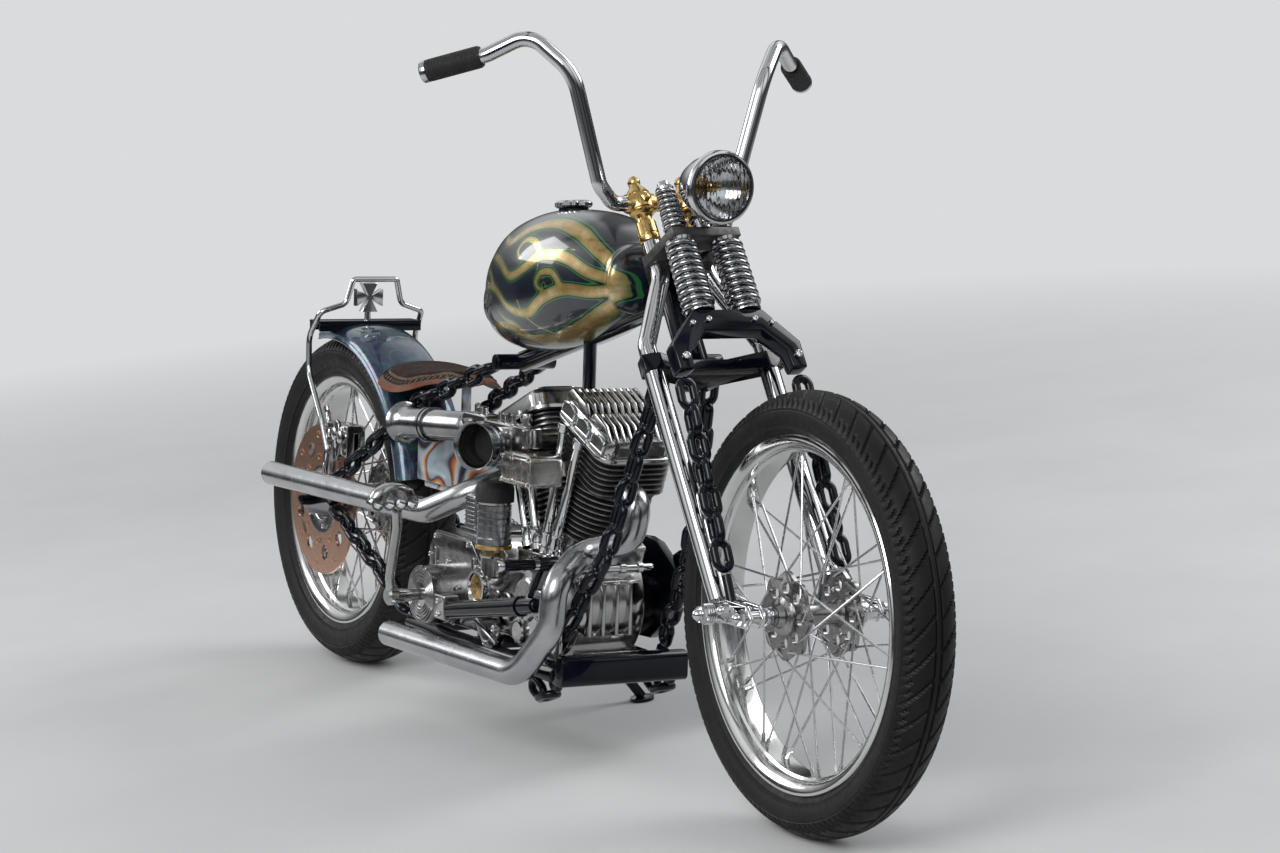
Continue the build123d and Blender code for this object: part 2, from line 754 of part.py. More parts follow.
for name, angle in (("front", vee_half_angle), ("rear", -vee_half_angle)):
    tilt = radians(angle)
    up = Vector(sin(tilt), 0, cos(tilt))
    forward = 1 if angle > 0 else -1
    CYLINDER = Plane(origin=(crank_x, 0, crank_z), x_dir=(cos(tilt), 0, -sin(tilt)), z_dir=up)
    with BuildPart() as cylinder:
        with BuildSketch(CYLINDER.offset(cylinder_base)):
            RegularPolygon(cylinder_radius, 12)
        extrude(amount=cylinder_top - cylinder_base)
        fin_pitch = (cylinder_top - cylinder_base - 12.0) / (fin_count - 1)
        for fin in range(fin_count):
            with BuildSketch(CYLINDER.offset(cylinder_base + 6.0 + fin_pitch * fin)):
                RegularPolygon(fin_radius, 12)
            extrude(amount=fin_thickness)
        with BuildSketch(CYLINDER.offset(cylinder_top - 2.0)):
            RectangleRounded(2 * fin_radius, 2 * fin_radius - 6, 30)
        extrude(amount=head_top - cylinder_top + 1.8)
        with Locations((crank_x + forward * (1.5 - 200), 0, crank_z + 200)):
            Box(400, 400, 500, mode=Mode.SUBTRACT)
    keep(cylinder.part, f"{name}_cylinder")

    # The front box carries two rows of ridges and arched panels, the rear one is smooth with a raised lid.
    rocker_middle = (rocker_left - rocker_right) / 2
    rocker_width = rocker_left + rocker_right
    with BuildPart() as rocker_box:
        with BuildSketch(CYLINDER.offset(head_top)):
            with Locations((0, rocker_middle)):
                RectangleRounded(2 * rocker_half_length, rocker_width, 30)
        extrude(amount=8.0)
        with BuildSketch(CYLINDER.offset(head_top + 8.0)) as foot:
            with Locations((0, rocker_middle)):
                RectangleRounded(2 * rocker_half_length - 10.0, rocker_width - 10.0, 26)
        with BuildSketch(CYLINDER.offset(rocker_box_top - ridge_height)) as crown:
            with Locations((0, rocker_middle)):
                RectangleRounded(2 * rocker_half_length - 26.0, rocker_width - 26.0, 20)
        loft([foot.sketch, crown.sketch])
        if name == "front":
            ridge_pitch = (rocker_width - 46.0) / (ridge_count - 1)
            with BuildSketch(CYLINDER.offset(rocker_box_top - ridge_height - 1.0)):
                for number in range(ridge_count):
                    ridge_y = rocker_middle - (rocker_width - 46.0) / 2 + ridge_pitch * number
                    with Locations((-41.0, ridge_y), (41.0, ridge_y)):
                        Rectangle(72.0, ridge_pitch * 0.45)
            extrude(amount=ridge_height + 1.0)
        else:
            with BuildSketch(CYLINDER.offset(rocker_box_top - ridge_height - 1.0)):
                with Locations((0, rocker_middle)):
                    RectangleRounded(2 * rocker_half_length - 60.0, rocker_width - 56.0, 18)
            extrude(amount=7.0)
            round_bar(
                CYLINDER.from_local_coords(Vector(-62.0, -rocker_right + 34.0, rocker_box_top - ridge_height - 30.0)),
                CYLINDER.from_local_coords(Vector(-62.0, -rocker_right - 2.0, rocker_box_top - ridge_height - 30.0)),
                11.0,
                sides=12,
            )
    keep(rocker_box.part, f"{name}_rocker_box")

# Timing cover on the right of the crankcase, with tappet block and the magneto's pad
cover_face = case_half_width + 0.2 + cover_depth
tappet_top = crank_z + 82.0
with BuildPart() as timing_cover:
    with BuildSketch(ENGINE.offset(case_half_width + 0.2)):
        with BuildLine():
            Polyline(
                (-150, -38), (-150, 44), (-85, 60), (70, 62), (99, 20), (99, -40), (40, -84), (-80, -70), close=True
            )
        make_face()
    extrude(amount=cover_depth)
    with BuildSketch(ENGINE.offset(cover_face - 8.0)):
        with Locations((boss_x - crank_x, 4)):
            RegularPolygon(34.0, 16)
    extrude(amount=30.0)
    with BuildSketch(ENGINE.offset(cover_face + 21.0)):
        with Locations((boss_x - crank_x, 4)):
            RegularPolygon(22.0, 16)
    extrude(amount=8.0)
    with Locations((crank_x, -82.0, tappet_top)):
        Box(120.0, 32.0, 30.0, align=(Align.CENTER, Align.CENTER, Align.MAX))
    round_bar((magneto_x, magneto_y, 290.0), (magneto_x, magneto_y, 322.0), 22.0)
keep(timing_cover.part, "timing_cover")

# Pushrod tubes: one bright tube for each valve, from the tappet block to the rocker boxes
with BuildPart() as pushrod_tubes:
    for bottom_x, top_along, top_angle in (
        (962.0, 6.0, vee_half_angle),
        (930.0, -54.0, vee_half_angle),
        (902.0, 54.0, -vee_half_angle),
        (870.0, -6.0, -vee_half_angle),
    ):
        top_x, top_z = on_cylinder(top_angle, head_top - 1.5, top_along)
        slant = abs(top_x - bottom_x) / hypot(top_x - bottom_x, top_z - tappet_top)
        foot_z = tappet_top + link_gap + pushrod_radius * slant
        round_bar((bottom_x, pushrod_y, foot_z), (top_x, pushrod_y, top_z), pushrod_radius, sides=10)
keep(pushrod_tubes.part, "pushrod_tubes")

# Upright magneto on the timing cover
with BuildPart() as magneto:
    for low, high, radius in ((322.3, 345.0, 18.0), (345.0, 360.0, 33.0), (360.0, 420.0, 30.0), (420.0, 455.0, 34.0)):
        with BuildSketch(Plane(origin=(magneto_x, magneto_y, low))):
            RegularPolygon(radius, 16)
        extrude(amount=high - low)
    with Locations((magneto_x - 38.0, magneto_y - 10.0, 400.0)):
        Box(36.0, 36.0, 56.0)
keep(magneto.part, "magneto")

# Intake manifold between the heads, two carburettors and their open velocity stacks
intake_z = 540.0
side_stack_mouth = Vector(884.0, -204.0, 527.0)
side_stack_axis = Vector(0.462, -0.887, 0)
side_stack_root = side_stack_mouth - side_stack_axis * 50.0
rear_stack_mouth = Vector(420.0, -124.0, 518.0)
rear_stack_root = Vector(692.0, -116.0, 538.0)
rear_stack_axis = (rear_stack_mouth - rear_stack_root).normalized()
port_reach = 30.7
with BuildPart() as carburettors:
    round_bar((crank_x, 0, intake_z), (crank_x, -110.0, intake_z), 17.0)
    for angle in (vee_half_angle, -vee_half_angle):
        port = 1 if angle > 0 else -1
        turn = radians(vee_half_angle)
        round_bar(
            (crank_x, 0, intake_z),
            (crank_x + port * port_reach * cos(turn), 0, intake_z - port_reach * sin(turn)),
            16.0,
        )
    with Locations((912.0, -118.0, 543.0)):
        Box(50.0, 36.0, 38.0)
    with Locations((842.0, -121.0, 537.0)):
        Box(108.0, 36.0, 50.0)
    with Locations((748.0, -115.0, 540.0)):
        Box(92.0, 42.0, 54.0)
    round_bar(side_stack_root - side_stack_axis * 44.0, side_stack_root - side_stack_axis * 0.3, 28.0)
    round_bar(rear_stack_root - rear_stack_axis * 30.0, rear_stack_root - rear_stack_axis * 0.3, 22.0)
keep(carburettors.part, "carburettors")

with BuildPart() as velocity_stacks:
    for mouth, root, flare, throat in (
        (rear_stack_mouth, rear_stack_root, 33.0, 27.0),
        (side_stack_mouth, side_stack_root, 42.0, 34.0),
    ):
        out = mouth - root
        stack = Plane(origin=root, z_dir=out)
        with BuildSketch(stack) as root_ring:
            Circle(throat - 1.0)
        with BuildSketch(stack.offset(out.length - 16.0)) as neck_ring:
            Circle(throat)
        with BuildSketch(stack.offset(out.length)) as mouth_ring:
            Circle(flare)
        loft([root_ring.sketch, neck_ring.sketch])
        loft([neck_ring.sketch, mouth_ring.sketch])
        with BuildSketch(stack.offset(out.length)) as bore:
            Circle(throat - 3.0)
        extrude(bore.sketch, amount=-out.length + 12.0, mode=Mode.SUBTRACT)
keep(velocity_stacks.part, "velocity_stacks")

# Polished box on the right, bolted to the front head
with BuildPart() as coil_box:
    with Locations((956.0, -127.5, 494.0)):
        Box(105.0, 65.0, 54.0)
    with Locations((996.0, -83.5, 498.0)):
        Box(16.0, 22.4, 26.0)
keep(coil_box.part, "coil_box")

# Exhausts: each a pipe that leaves its head, then runs straight back on the right side
front_port = on_cylinder(vee_half_angle, 256.0, fin_radius + 0.3)
rear_port = on_cylinder(-vee_half_angle, 262.0, -fin_radius - 0.3)
front_exhaust_path = (
    (front_port[0], -15.0, front_port[1]),
    (1129.5, -15.0, 451.6),
    (1118.0, -22.0, 388.0),
    (1052.0, -76.0, 364.0),
    (1092.0, -150.0, 318.0),
    (1084.0, -152.0, 238.0),
    (1010.0, -171.0, 153.0),
    (520.0, -180.0, 146.0),
)
rear_exhaust_path = (
    (rear_port[0], -25.0, rear_port[1]),
    (rear_port[0] - 34.0, -25.0, rear_port[1] - 14.1),
    (700.0, -120.0, 420.0),
    (618.0, -160.0, 380.0),
    (-50.0, -170.0, 370.0),
)


def open_end(path):
    """The bore that shows at a pipe's end, in the active part."""
    tip = Vector(*path[-1])
    inward = (Vector(*path[-2]) - tip).normalized()
    round_bar(tip - inward, tip + inward * 70.0, pipe_radius - pipe_sheet, mode=Mode.SUBTRACT)


with BuildPart() as front_exhaust:
    bent_tube(front_exhaust_path, [38.0, 42.0, 40.0, 45.0, 60.0, 80.0], pipe_radius)
    with Locations((820.0, -144.5, 148.0)):
        Box(20.0, 26.0, 8.0)
    open_end(front_exhaust_path)
keep(front_exhaust.part, "front_exhaust")

with BuildPart() as rear_exhaust:
    bent_tube(rear_exhaust_path, [26.0, 60.0, 70.0], pipe_radius)
    open_end(rear_exhaust_path)
keep(rear_exhaust.part, "rear_exhaust")

# Gearbox behind the engine with the kick starter's cover
kick_x = 600.0
kick_z = 228.0
with BuildPart() as gearbox:
    with BuildSketch(Plane(origin=(0, -112.0, 0), x_dir=(1, 0, 0), z_dir=(0, -1, 0))):
        with BuildLine():
            Polyline((534, 178), (534, 300), (560, 338), (700, 338), (742, 300), (742, 178), close=True)
        make_face()
    extrude(amount=-170.0)
    with BuildSketch(Plane(origin=(kick_x, -112.0, kick_z), z_dir=(0, -1, 0))):
        RegularPolygon(52.0, 20)
    extrude(amount=46.0)
    for groove in (45.0, 36.0, 27.0):
        with BuildSketch(Plane(origin=(kick_x, -158.0, kick_z), z_dir=(0, 1, 0))):
            RegularPolygon(groove, 20)
            RegularPolygon(groove - 3.0, 20, mode=Mode.SUBTRACT)
        extrude(amount=3.0, mode=Mode.SUBTRACT)
    with Locations((630.0, -20.0, 338.0)):
        Box(96.0, 110.0, 9.0, align=(Align.CENTER, Align.CENTER, Align.MIN))
    for rib_x in (566.0, 718.0):
        with Locations((rib_x, -112.0, 258.0)):
            Box(10.0, 8.0, 100.0)
    with Locations((700.0, -27.0, 162.3)):
        Box(26.0, 120.0, 17.0, align=(Align.CENTER, Align.CENTER, Align.MIN))
    for foot_y in (-60.0, 40.0):
        with Locations((522.0, foot_y, 162.3)):
            Box(36.0, 26.0, 20.0, align=(Align.CENTER, Align.CENTER, Align.MIN))
keep(gearbox.part, "gearbox")

pedal_x = 692.0
pedal_z = 414.0
with BuildPart() as kick_lever:
    round_bar((kick_x, -158.3, kick_z), (kick_x, -226.0, kick_z), 11.0)
    round_bar((kick_x, -216.0, kick_z), (688.0, -248.0, 396.0), 8.0)
    with BuildSketch(Plane(origin=(pedal_x, -262.0, pedal_z), x_dir=(0, 1, 0), z_dir=(1, 0, 0))):
        with Locations((-33.0, -6.0), (33.0, -6.0), (-22.0, 12.0), (22.0, 12.0), (0, 17.0)):
            RegularPolygon(13.0, 12)
        make_hull()
        with Locations((-33.0, -6.0), (-11.0, -6.0), (11.0, -6.0), (33.0, -6.0)):
            RegularPolygon(8.0, 12, mode=Mode.SUBTRACT)
    extrude(amount=12.0, both=True)
keep(kick_lever.part, "kick_lever")

# Primary drive on the left: belt guard, and the gearbox shaft with the chain's front sprocket
drive_x = 640.0
drive_z = 258.0
guard_inner = 116.0
guard_thickness = 16.0
front_sprocket_radius = 38.0
with BuildPart() as primary_drive:
    with BuildSketch(Plane(origin=(0, guard_inner + guard_thickness, 0), x_dir=(1, 0, 0), z_dir=(0, -1, 0))):
        with BuildLine():
            Polyline(
                (560, 200), (560, 310), (610, 345), (930, 366), (965, 360), (1090, 285), (1078, 272), (1030, 255),
                (985, 215), (950, 190), (610, 178), close=True
            )
        make_face()
    extrude(amount=guard_thickness)
    round_bar((crank_x, case_half_width + 0.3, crank_z), (crank_x, guard_inner + 2.0, crank_z), 30.0)
    round_bar((drive_x, 58.3, drive_z), (drive_x, guard_inner + 2.0, drive_z), 16.0)
    with BuildSketch(Plane(origin=(drive_x, sprocket_y, drive_z), z_dir=(0, 1, 0))):
        RegularPolygon(front_sprocket_radius, 16)
    extrude(amount=6.0)
keep(primary_drive.part, "primary_drive")

# Final chain: one loop round both sprockets
chain_band = 10.0
with BuildPart() as final_chain:
    with BuildSketch(Plane(origin=(0, sprocket_y - 1.0, 0), x_dir=(1, 0, 0), z_dir=(0, -1, 0))):
        with Locations((0, rear_tyre_radius)):
            RegularPolygon(sprocket_radius + 3.0 + chain_band, 24)
        with Locations((drive_x, drive_z)):
            RegularPolygon(front_sprocket_radius + 0.3 + chain_band, 16)
        make_hull()
        with BuildSketch(Plane(origin=(0, sprocket_y - 1.0, 0), x_dir=(1, 0, 0), z_dir=(0, -1, 0)), mode=Mode.PRIVATE) as inside:
            with Locations((0, rear_tyre_radius)):
                RegularPolygon(sprocket_radius + 3.0, 24)
            with Locations((drive_x, drive_z)):
                RegularPolygon(front_sprocket_radius + 0.3, 16)
            make_hull()
        add(inside.sketch_local, mode=Mode.SUBTRACT)
    extrude(amount=-8.0)
keep(final_chain.part, "final_chain")

# Oil tank under the seat, on the post of the frame
with BuildPart() as oil_tank:
    with BuildSketch(Plane(origin=(458.0, 0, 396.0))):
        RectangleRounded(152.0, 126.0, 34.0)
    extrude(amount=112.0)
    with BuildSketch(Plane(origin=(458.0, 0, 410.0))):
        RectangleRounded(176.0, 150.0, 42.0)
    extrude(amount=84.0)
    round_bar((446.0, 0, 500.0), (446.0, 0, seat_base - 0.3), 9.0)
keep(oil_tank.part, "oil_tank")

# Fuel tank: lofted through upright sections along the backbone
TANK_SECTIONS = (
    # x, bottom z, top z, half width
    (572.0, 706.0, 790.0, 34.0),
    (612.0, 688.0, 842.0, 70.0),
    (690.0, 676.0, 890.0, 100.0),
    (800.0, 680.0, 922.0, 115.0),
    (900.0, 698.0, 932.0, 114.0),
    (1000.0, 732.0, 922.0, 96.0),
    (1076.0, 764.0, 890.0, 66.0),
    (1122.0, 792.0, 848.0, 30.0),
)
with BuildPart() as fuel_tank:
    rings = []
    for x, low, high, half in TANK_SECTIONS:
        with BuildSketch(Plane(origin=(x, 0, (low + high) / 2), x_dir=(0, 1, 0), z_dir=(1, 0, 0))) as ring:
            RectangleRounded(2 * half, high - low, min(half, (high - low) / 2) * 0.86)
        rings.append(ring.sketch)
    loft(rings, ruled=True)
    round_bar((560, 0, backbone_z(560)), (1140, 0, backbone_z(1140)), backbone_radius + 0.3, mode=Mode.SUBTRACT)
keep(fuel_tank.part, "fuel_tank")

# The cap lies on the slope of the tank's top
cap_x = 842.0
(rear_x, _, rear_top, _), (front_x, _, front_top, _) = TANK_SECTIONS[3:5]
tank_slope = (front_top - rear_top) / (front_x - rear_x)
cap_z = rear_top + (cap_x - rear_x) * tank_slope + 0.3
with BuildPart() as fuel_cap:
    with BuildSketch(Plane(origin=(cap_x, 0, cap_z), z_dir=(-tank_slope, 0, 1))):
        Circle(34.0)
    extrude(amount=14.0)
keep(fuel_cap.part, "fuel_cap")

# Solo seat over the rails: a crowned pad, low at the nose, with its edges turned down
SEAT_SECTIONS = (
    # x, half width, edge below the base, crown above it
    (228.0, 58.0, 2.0, 20.0),
    (262.0, 96.0, 12.0, 24.0),
    (330.0, 113.0, 26.0, 22.0),
    (392.0, 106.0, 21.0, 20.0),
    (436.0, 66.0, 2.0, 22.0),
    (490.0, 20.0, 2.0, 22.0),
)
seat_hide = 6.0
with BuildPart() as seat:
    outlines = []
    for x, half, drop, rise in SEAT_SECTIONS:
        with BuildSketch(Plane(origin=(x, 0, seat_base), x_dir=(0, 1, 0), z_dir=(1, 0, 0))) as outline:
            with BuildLine():
                Polyline(
                    (-half, -drop),
                    (-half, 6.0),
                    (-half * 0.6, rise),
                    (half * 0.6, rise),
                    (half, 6.0),
                    (half, -drop),
                    (half - seat_hide, -drop),
                    (half - seat_hide, 0),
                    (-half + seat_hide, 0),
                    (-half + seat_hide, -drop),
                    close=True,
                )
            make_face()
        outlines.append(outline.sketch)
    loft(outlines, ruled=True)
keep(seat.part, "seat")

# Rear fender close over the tyre
fender_start = 101.0
fender_arc = 88.0
fender_gap = 22.0
fender_radius = rear_tyre_radius + fender_gap
lip_radius = fender_radius - 28.0
fender_sheet = 3.0
with BuildPart() as rear_fender:
    turn = radians(fender_start)
    with BuildSketch(Plane(origin=(0, 0, rear_tyre_radius), x_dir=(0, 1, 0), z_dir=(sin(turn), 0, -cos(turn)))):
        with BuildLine():
            Polyline(
                (-72, lip_radius), (-66, fender_radius - 10), (-38, fender_radius), (38, fender_radius),
                (66, fender_radius - 10), (72, lip_radius), (72 - fender_sheet, lip_radius),
                (63.5, fender_radius - 12.5), (37, fender_radius - fender_sheet), (-37, fender_radius - fender_sheet),
                (-63.5, fender_radius - 12.5), (-72 + fender_sheet, lip_radius), close=True
            )
        make_face()
    revolve(axis=Axis((0, 0, rear_tyre_radius), (0, 1, 0)), revolution_arc=fender_arc)
keep(rear_fender.part, "rear_fender")

# Sissy bar in the shape of a bell over the fender, bolted to the axle plates
sissy_path = (
    # x, y of the right half, height over the axle
    (39.0, -46.0, 431.0),
    (34.0, -58.0, 384.0),
    (26.0, -108.0, 368.0),
    (-14.0, -113.0, 318.0),
    (-8.0, -115.0, 248.0),
    (60.0, -118.0, 168.0),
    (92.0, -118.0, 108.0),
    (80.0, -118.0, 36.0),
)
with BuildPart() as sissy_bar:
    right_half = [(x, y, rear_tyre_radius + up) for x, y, up in sissy_path]
    left_half = [(x, -y, z) for x, y, z in right_half]
    bends = [20, 40, 50, 40, 16, 18, 6]
    bent_tube(right_half[::-1] + left_half, bends + bends[::-1], 5.5)
    with Locations((0.0, 0, rear_tyre_radius + fender_radius + 0.3)):
        Box(50.0, 218.0, 5.0, align=(Align.CENTER, Align.CENTER, Align.MIN))
keep(sissy_bar.part, "sissy_bar")

plate_top = rear_tyre_radius + fender_radius + 5.3
lamp_height = plate_top + 44.7
with BuildPart() as tail_lamp:
    with BuildSketch(Plane(origin=(2.0, 0, lamp_height), x_dir=(0, 1, 0), z_dir=(1, 0, 0))):
        for turn in range(4):
            with BuildLine(Plane.XY.rotated((0, 0, 90 * turn))):
                Polyline((5, 4), (28, 17), (28, -17), (5, -4), (-5, -4), (-5, 4), close=True)
            make_face()
    extrude(amount=16.0)
    round_bar((8.0, 0, plate_top + 0.3), (8.0, 0, lamp_height - 16.0), 6.0)
keep(tail_lamp.part, "tail_lamp")

# Rear brake caliper on the right axle plate, over the disc
with BuildPart() as brake_caliper:
    with Locations((104.0, -84.0, rear_tyre_radius + 128.0)):
        Box(90.0, 39.0, 60.0)
    with Locations((104.0, disc_y - disc_thickness / 2, rear_tyre_radius + 108.0)):
        Box(140.0, 9.0, 70.0, mode=Mode.SUBTRACT)
    with Locations((76.0, -100.0, rear_tyre_radius + 78.0)):
        Box(24.0, 7.0, 70.0)
    with BuildSketch(Plane(origin=(104.0, -103.5, rear_tyre_radius + 128.0), z_dir=(0, -1, 0))):
        with Locations((-26.0, 8.0), (0, 12.0), (26.0, 8.0)):
            RegularPolygon(14.0, 12)
        make_hull()
    extrude(amount=7.0)
keep(brake_caliper.part, "brake_caliper")

# Forward controls: pegs on plates, the brake pedal with its long cylinder
peg_x = 1028.0
peg_z = 342.0
with BuildPart() as foot_controls:
    with BuildSketch(Plane(origin=(0, -cover_face - 0.3, 0), x_dir=(1, 0, 0), z_dir=(0, -1, 0))):
        with BuildLine():
            Polyline((950, 285), (1005, 285), (1040, 330), (1040, 352), (1014, 352), (950, 318), close=True)
        make_face()
    extrude(amount=8.0)
    peg_root = -160.0
    round_bar((peg_x, -cover_face - 4.0, peg_z), (peg_x, peg_root, peg_z), peg_collar_radius)
    round_bar((peg_x, peg_root, peg_z), (peg_x, peg_root - peg_length, peg_z), peg_radius)
    round_bar((1018.0, -136.0, peg_z - 6.0), (992.0, -152.0, 260.0), 6.0)
    round_bar((peg_x, -140.0, peg_z), (1016.0, -136.0, peg_z - 6.0), 6.0)
    round_bar((690.0, -156.0, 212.0), (1040.0, -156.0, 274.0), 8.5)
    round_bar((992.0, -cover_face - 0.3, 265.0), (992.0, -156.0, 265.0), 6.0)
    with Locations((700.0, -156.0, 218.0)):
        Box(40.0, 26.0, 40.0)
    outer_face = guard_inner + guard_thickness + 0.3
    with BuildSketch(Plane(origin=(0, outer_face, 0), x_dir=(1, 0, 0), z_dir=(0, -1, 0))):
        with BuildLine():
            Polyline((950, 290), (1005, 290), (1040, 330), (1040, 352), (1014, 352), (950, 318), close=True)
        make_face()
    extrude(amount=-8.0)
    peg_root = 178.0
    round_bar((peg_x, outer_face - 4.0, peg_z), (peg_x, peg_root, peg_z), peg_collar_radius)
    round_bar((peg_x, peg_root, peg_z), (peg_x, peg_root + peg_length, peg_z), peg_radius)
keep(foot_controls.part, "foot_controls")

# Side stand on the left rail, swung down to the ground
stand_down = Vector(1, 0, 0) * sin(radians(stand_forward)) + stand_out * cos(radians(stand_forward))
ground_normal = Vector(0, -sin(radians(lean)), cos(radians(lean)))
leg_length = (stand_pivot.dot(ground_normal) - stand_foot_thickness) / -stand_down.dot(ground_normal)
stand_foot = stand_pivot + stand_down * leg_length
with BuildPart() as side_stand:
    round_bar(stand_pivot - stand_axis * 9.0, stand_pivot + stand_axis * 9.0, 14.0)
    round_bar(stand_pivot + stand_down * 9.0, stand_foot, stand_leg_radius)
    round_bar(stand_foot - ground_normal * stand_foot_thickness, stand_foot, stand_foot_radius)
    round_bar(
        stand_pivot - stand_axis * 10.0,
        stand_pivot + stand_axis * 10.0,
        stand_pin_radius + running_clearance,
        mode=Mode.SUBTRACT,
    )
keep(side_stand.part, "side_stand")

# Lean the whole motorcycle to the left about the line where the tyres touch the floor
leaned = Location((0, 0, 0), (1, 0, 0), -lean)
model = Compound(children=[piece.moved(leaned) for piece in pieces])
box = model.bounding_box()
centre = Vector((box.min.X + box.max.X) / 2, (box.min.Y + box.max.Y) / 2, box.min.Z)
parked = Location(-centre) * leaned
os.makedirs("parts", exist_ok=True)
print("origin shift", [round(value, 3) for value in (centre.X, centre.Y, centre.Z)])
for piece in pieces:
    name = piece.label
    placed = piece.moved(parked)
    placed.label = name
    export_step(placed, f"parts/{name}.step")
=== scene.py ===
# %% [markdown]
# # A chopper with a frame of welded chain
# The motorcycle arrives as solids that already have their true places. This lesson dresses them: it keeps
# the solids whose shape is right and gives them a finish, and it builds the rest anew, such as tyres with
# their tread, round chain links, coiled springs and the painted tank, exactly where the solids were.

import json
from math import atan2, cos, pi, radians, sin

import bmesh
import bpy
import numpy as np
from mathutils import Matrix, Vector


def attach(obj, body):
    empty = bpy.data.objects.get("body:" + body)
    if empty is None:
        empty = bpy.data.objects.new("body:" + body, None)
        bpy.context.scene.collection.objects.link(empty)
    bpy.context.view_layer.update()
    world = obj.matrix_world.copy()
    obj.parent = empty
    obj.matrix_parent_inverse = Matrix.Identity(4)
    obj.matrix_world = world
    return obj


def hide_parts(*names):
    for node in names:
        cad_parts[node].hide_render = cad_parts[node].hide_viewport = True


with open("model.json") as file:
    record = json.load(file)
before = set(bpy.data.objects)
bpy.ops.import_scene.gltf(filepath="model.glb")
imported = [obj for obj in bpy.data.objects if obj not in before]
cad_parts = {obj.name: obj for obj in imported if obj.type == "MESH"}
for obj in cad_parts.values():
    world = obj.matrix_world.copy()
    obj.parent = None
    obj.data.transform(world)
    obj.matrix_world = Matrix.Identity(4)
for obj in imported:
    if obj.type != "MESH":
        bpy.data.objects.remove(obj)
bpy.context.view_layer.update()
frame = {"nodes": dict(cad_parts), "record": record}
scene = bpy.context.scene

# %% [markdown]
# A motorcycle on its side stand leans, and a leaning thing is hard to draw. So every shape below is
# worked out upright, in millimetres: x forward from the rear axle, y to the rider's left, z up from the
# ground. One matrix then leans it by nine degrees and moves it to its parked place, in metres.

# %% The upright drawing space and its place in the scene
LEAN = radians(9.0)
REAR_RADIUS = 322.0
FRONT_WHEEL, REAR_WHEEL = (1659, 0, 347), (0, 0, REAR_RADIUS)
AHEAD, LEFT, RIGHT, UP = (1, 0, 0), (0, 1, 0), (0, -1, 0), (0, 0, 1)
REAR_AXLE = next(j for j in frame["record"]["behaviour"]["joints"] if j["name"] == "rear_wheel_spin")["pos_m"]
SHIFT = Vector((-1000 * REAR_AXLE[0], REAR_RADIUS * sin(LEAN) - 1000 * REAR_AXLE[1], 0.0))
PARKED = Matrix.Scale(0.001, 4) @ Matrix.Translation(-SHIFT) @ Matrix.Rotation(-LEAN, 4, "X")
UPRIGHT = PARKED.inverted()
RAKE = radians(34.0)
FORK_ROOT = Vector((1335.5, 0.0, 684.0))
FORK_AHEAD = Vector((cos(RAKE), 0.0, sin(RAKE)))
FORK_UP = Vector((-sin(RAKE), 0.0, cos(RAKE)))
BOTH = (-1, 1)


def fork_point(ahead, left, up):
    """A point given along and across the fork legs, in the upright drawing space."""
    return FORK_ROOT + FORK_AHEAD * ahead + Vector((0.0, left, 0.0)) + FORK_UP * up


print("crown in the scene", PARKED @ fork_point(0, 0, 20))

# %% [markdown]
# The camera stands where the photographer stood. Its place and turn were solved from the picture, in the
# upright space, so it leans together with the motorcycle and sees it at the same angle.

# %% Camera
SEEN_FROM = Vector((6127.0, -2844.0, 1183.0))
YAW, PITCH, ROLL, FOCAL_PIXELS = radians(150.51), radians(-5.97), radians(1.78), 3463.9
looking = Vector((cos(YAW) * cos(PITCH), sin(YAW) * cos(PITCH), sin(PITCH)))
level_right = Vector((sin(YAW), -cos(YAW), 0.0))
level_up = level_right.cross(looking)
right = level_right * cos(ROLL) + level_up * sin(ROLL)
upward = level_up * cos(ROLL) - level_right * sin(ROLL)
lens = bpy.data.cameras.new("camera")
lens.sensor_width = 36.0
lens.lens = 36.0 * FOCAL_PIXELS / 1280.0
lens.clip_end = 60.0
camera = bpy.data.objects.new("camera", lens)
turn = PARKED.to_3x3() @ Matrix((right, upward, -looking)).transposed()
camera.matrix_world = Matrix.Translation(PARKED @ SEEN_FROM) @ turn.normalized().to_4x4()
scene.collection.objects.link(camera)
scene.camera = camera
print("lens", round(lens.lens, 2), "mm")

# %% [markdown]
# Sky, finishes and repeated shapes are all trees of nodes. The helper below adds one node at a time and
# links whatever it is given, so that a tree reads as a list.

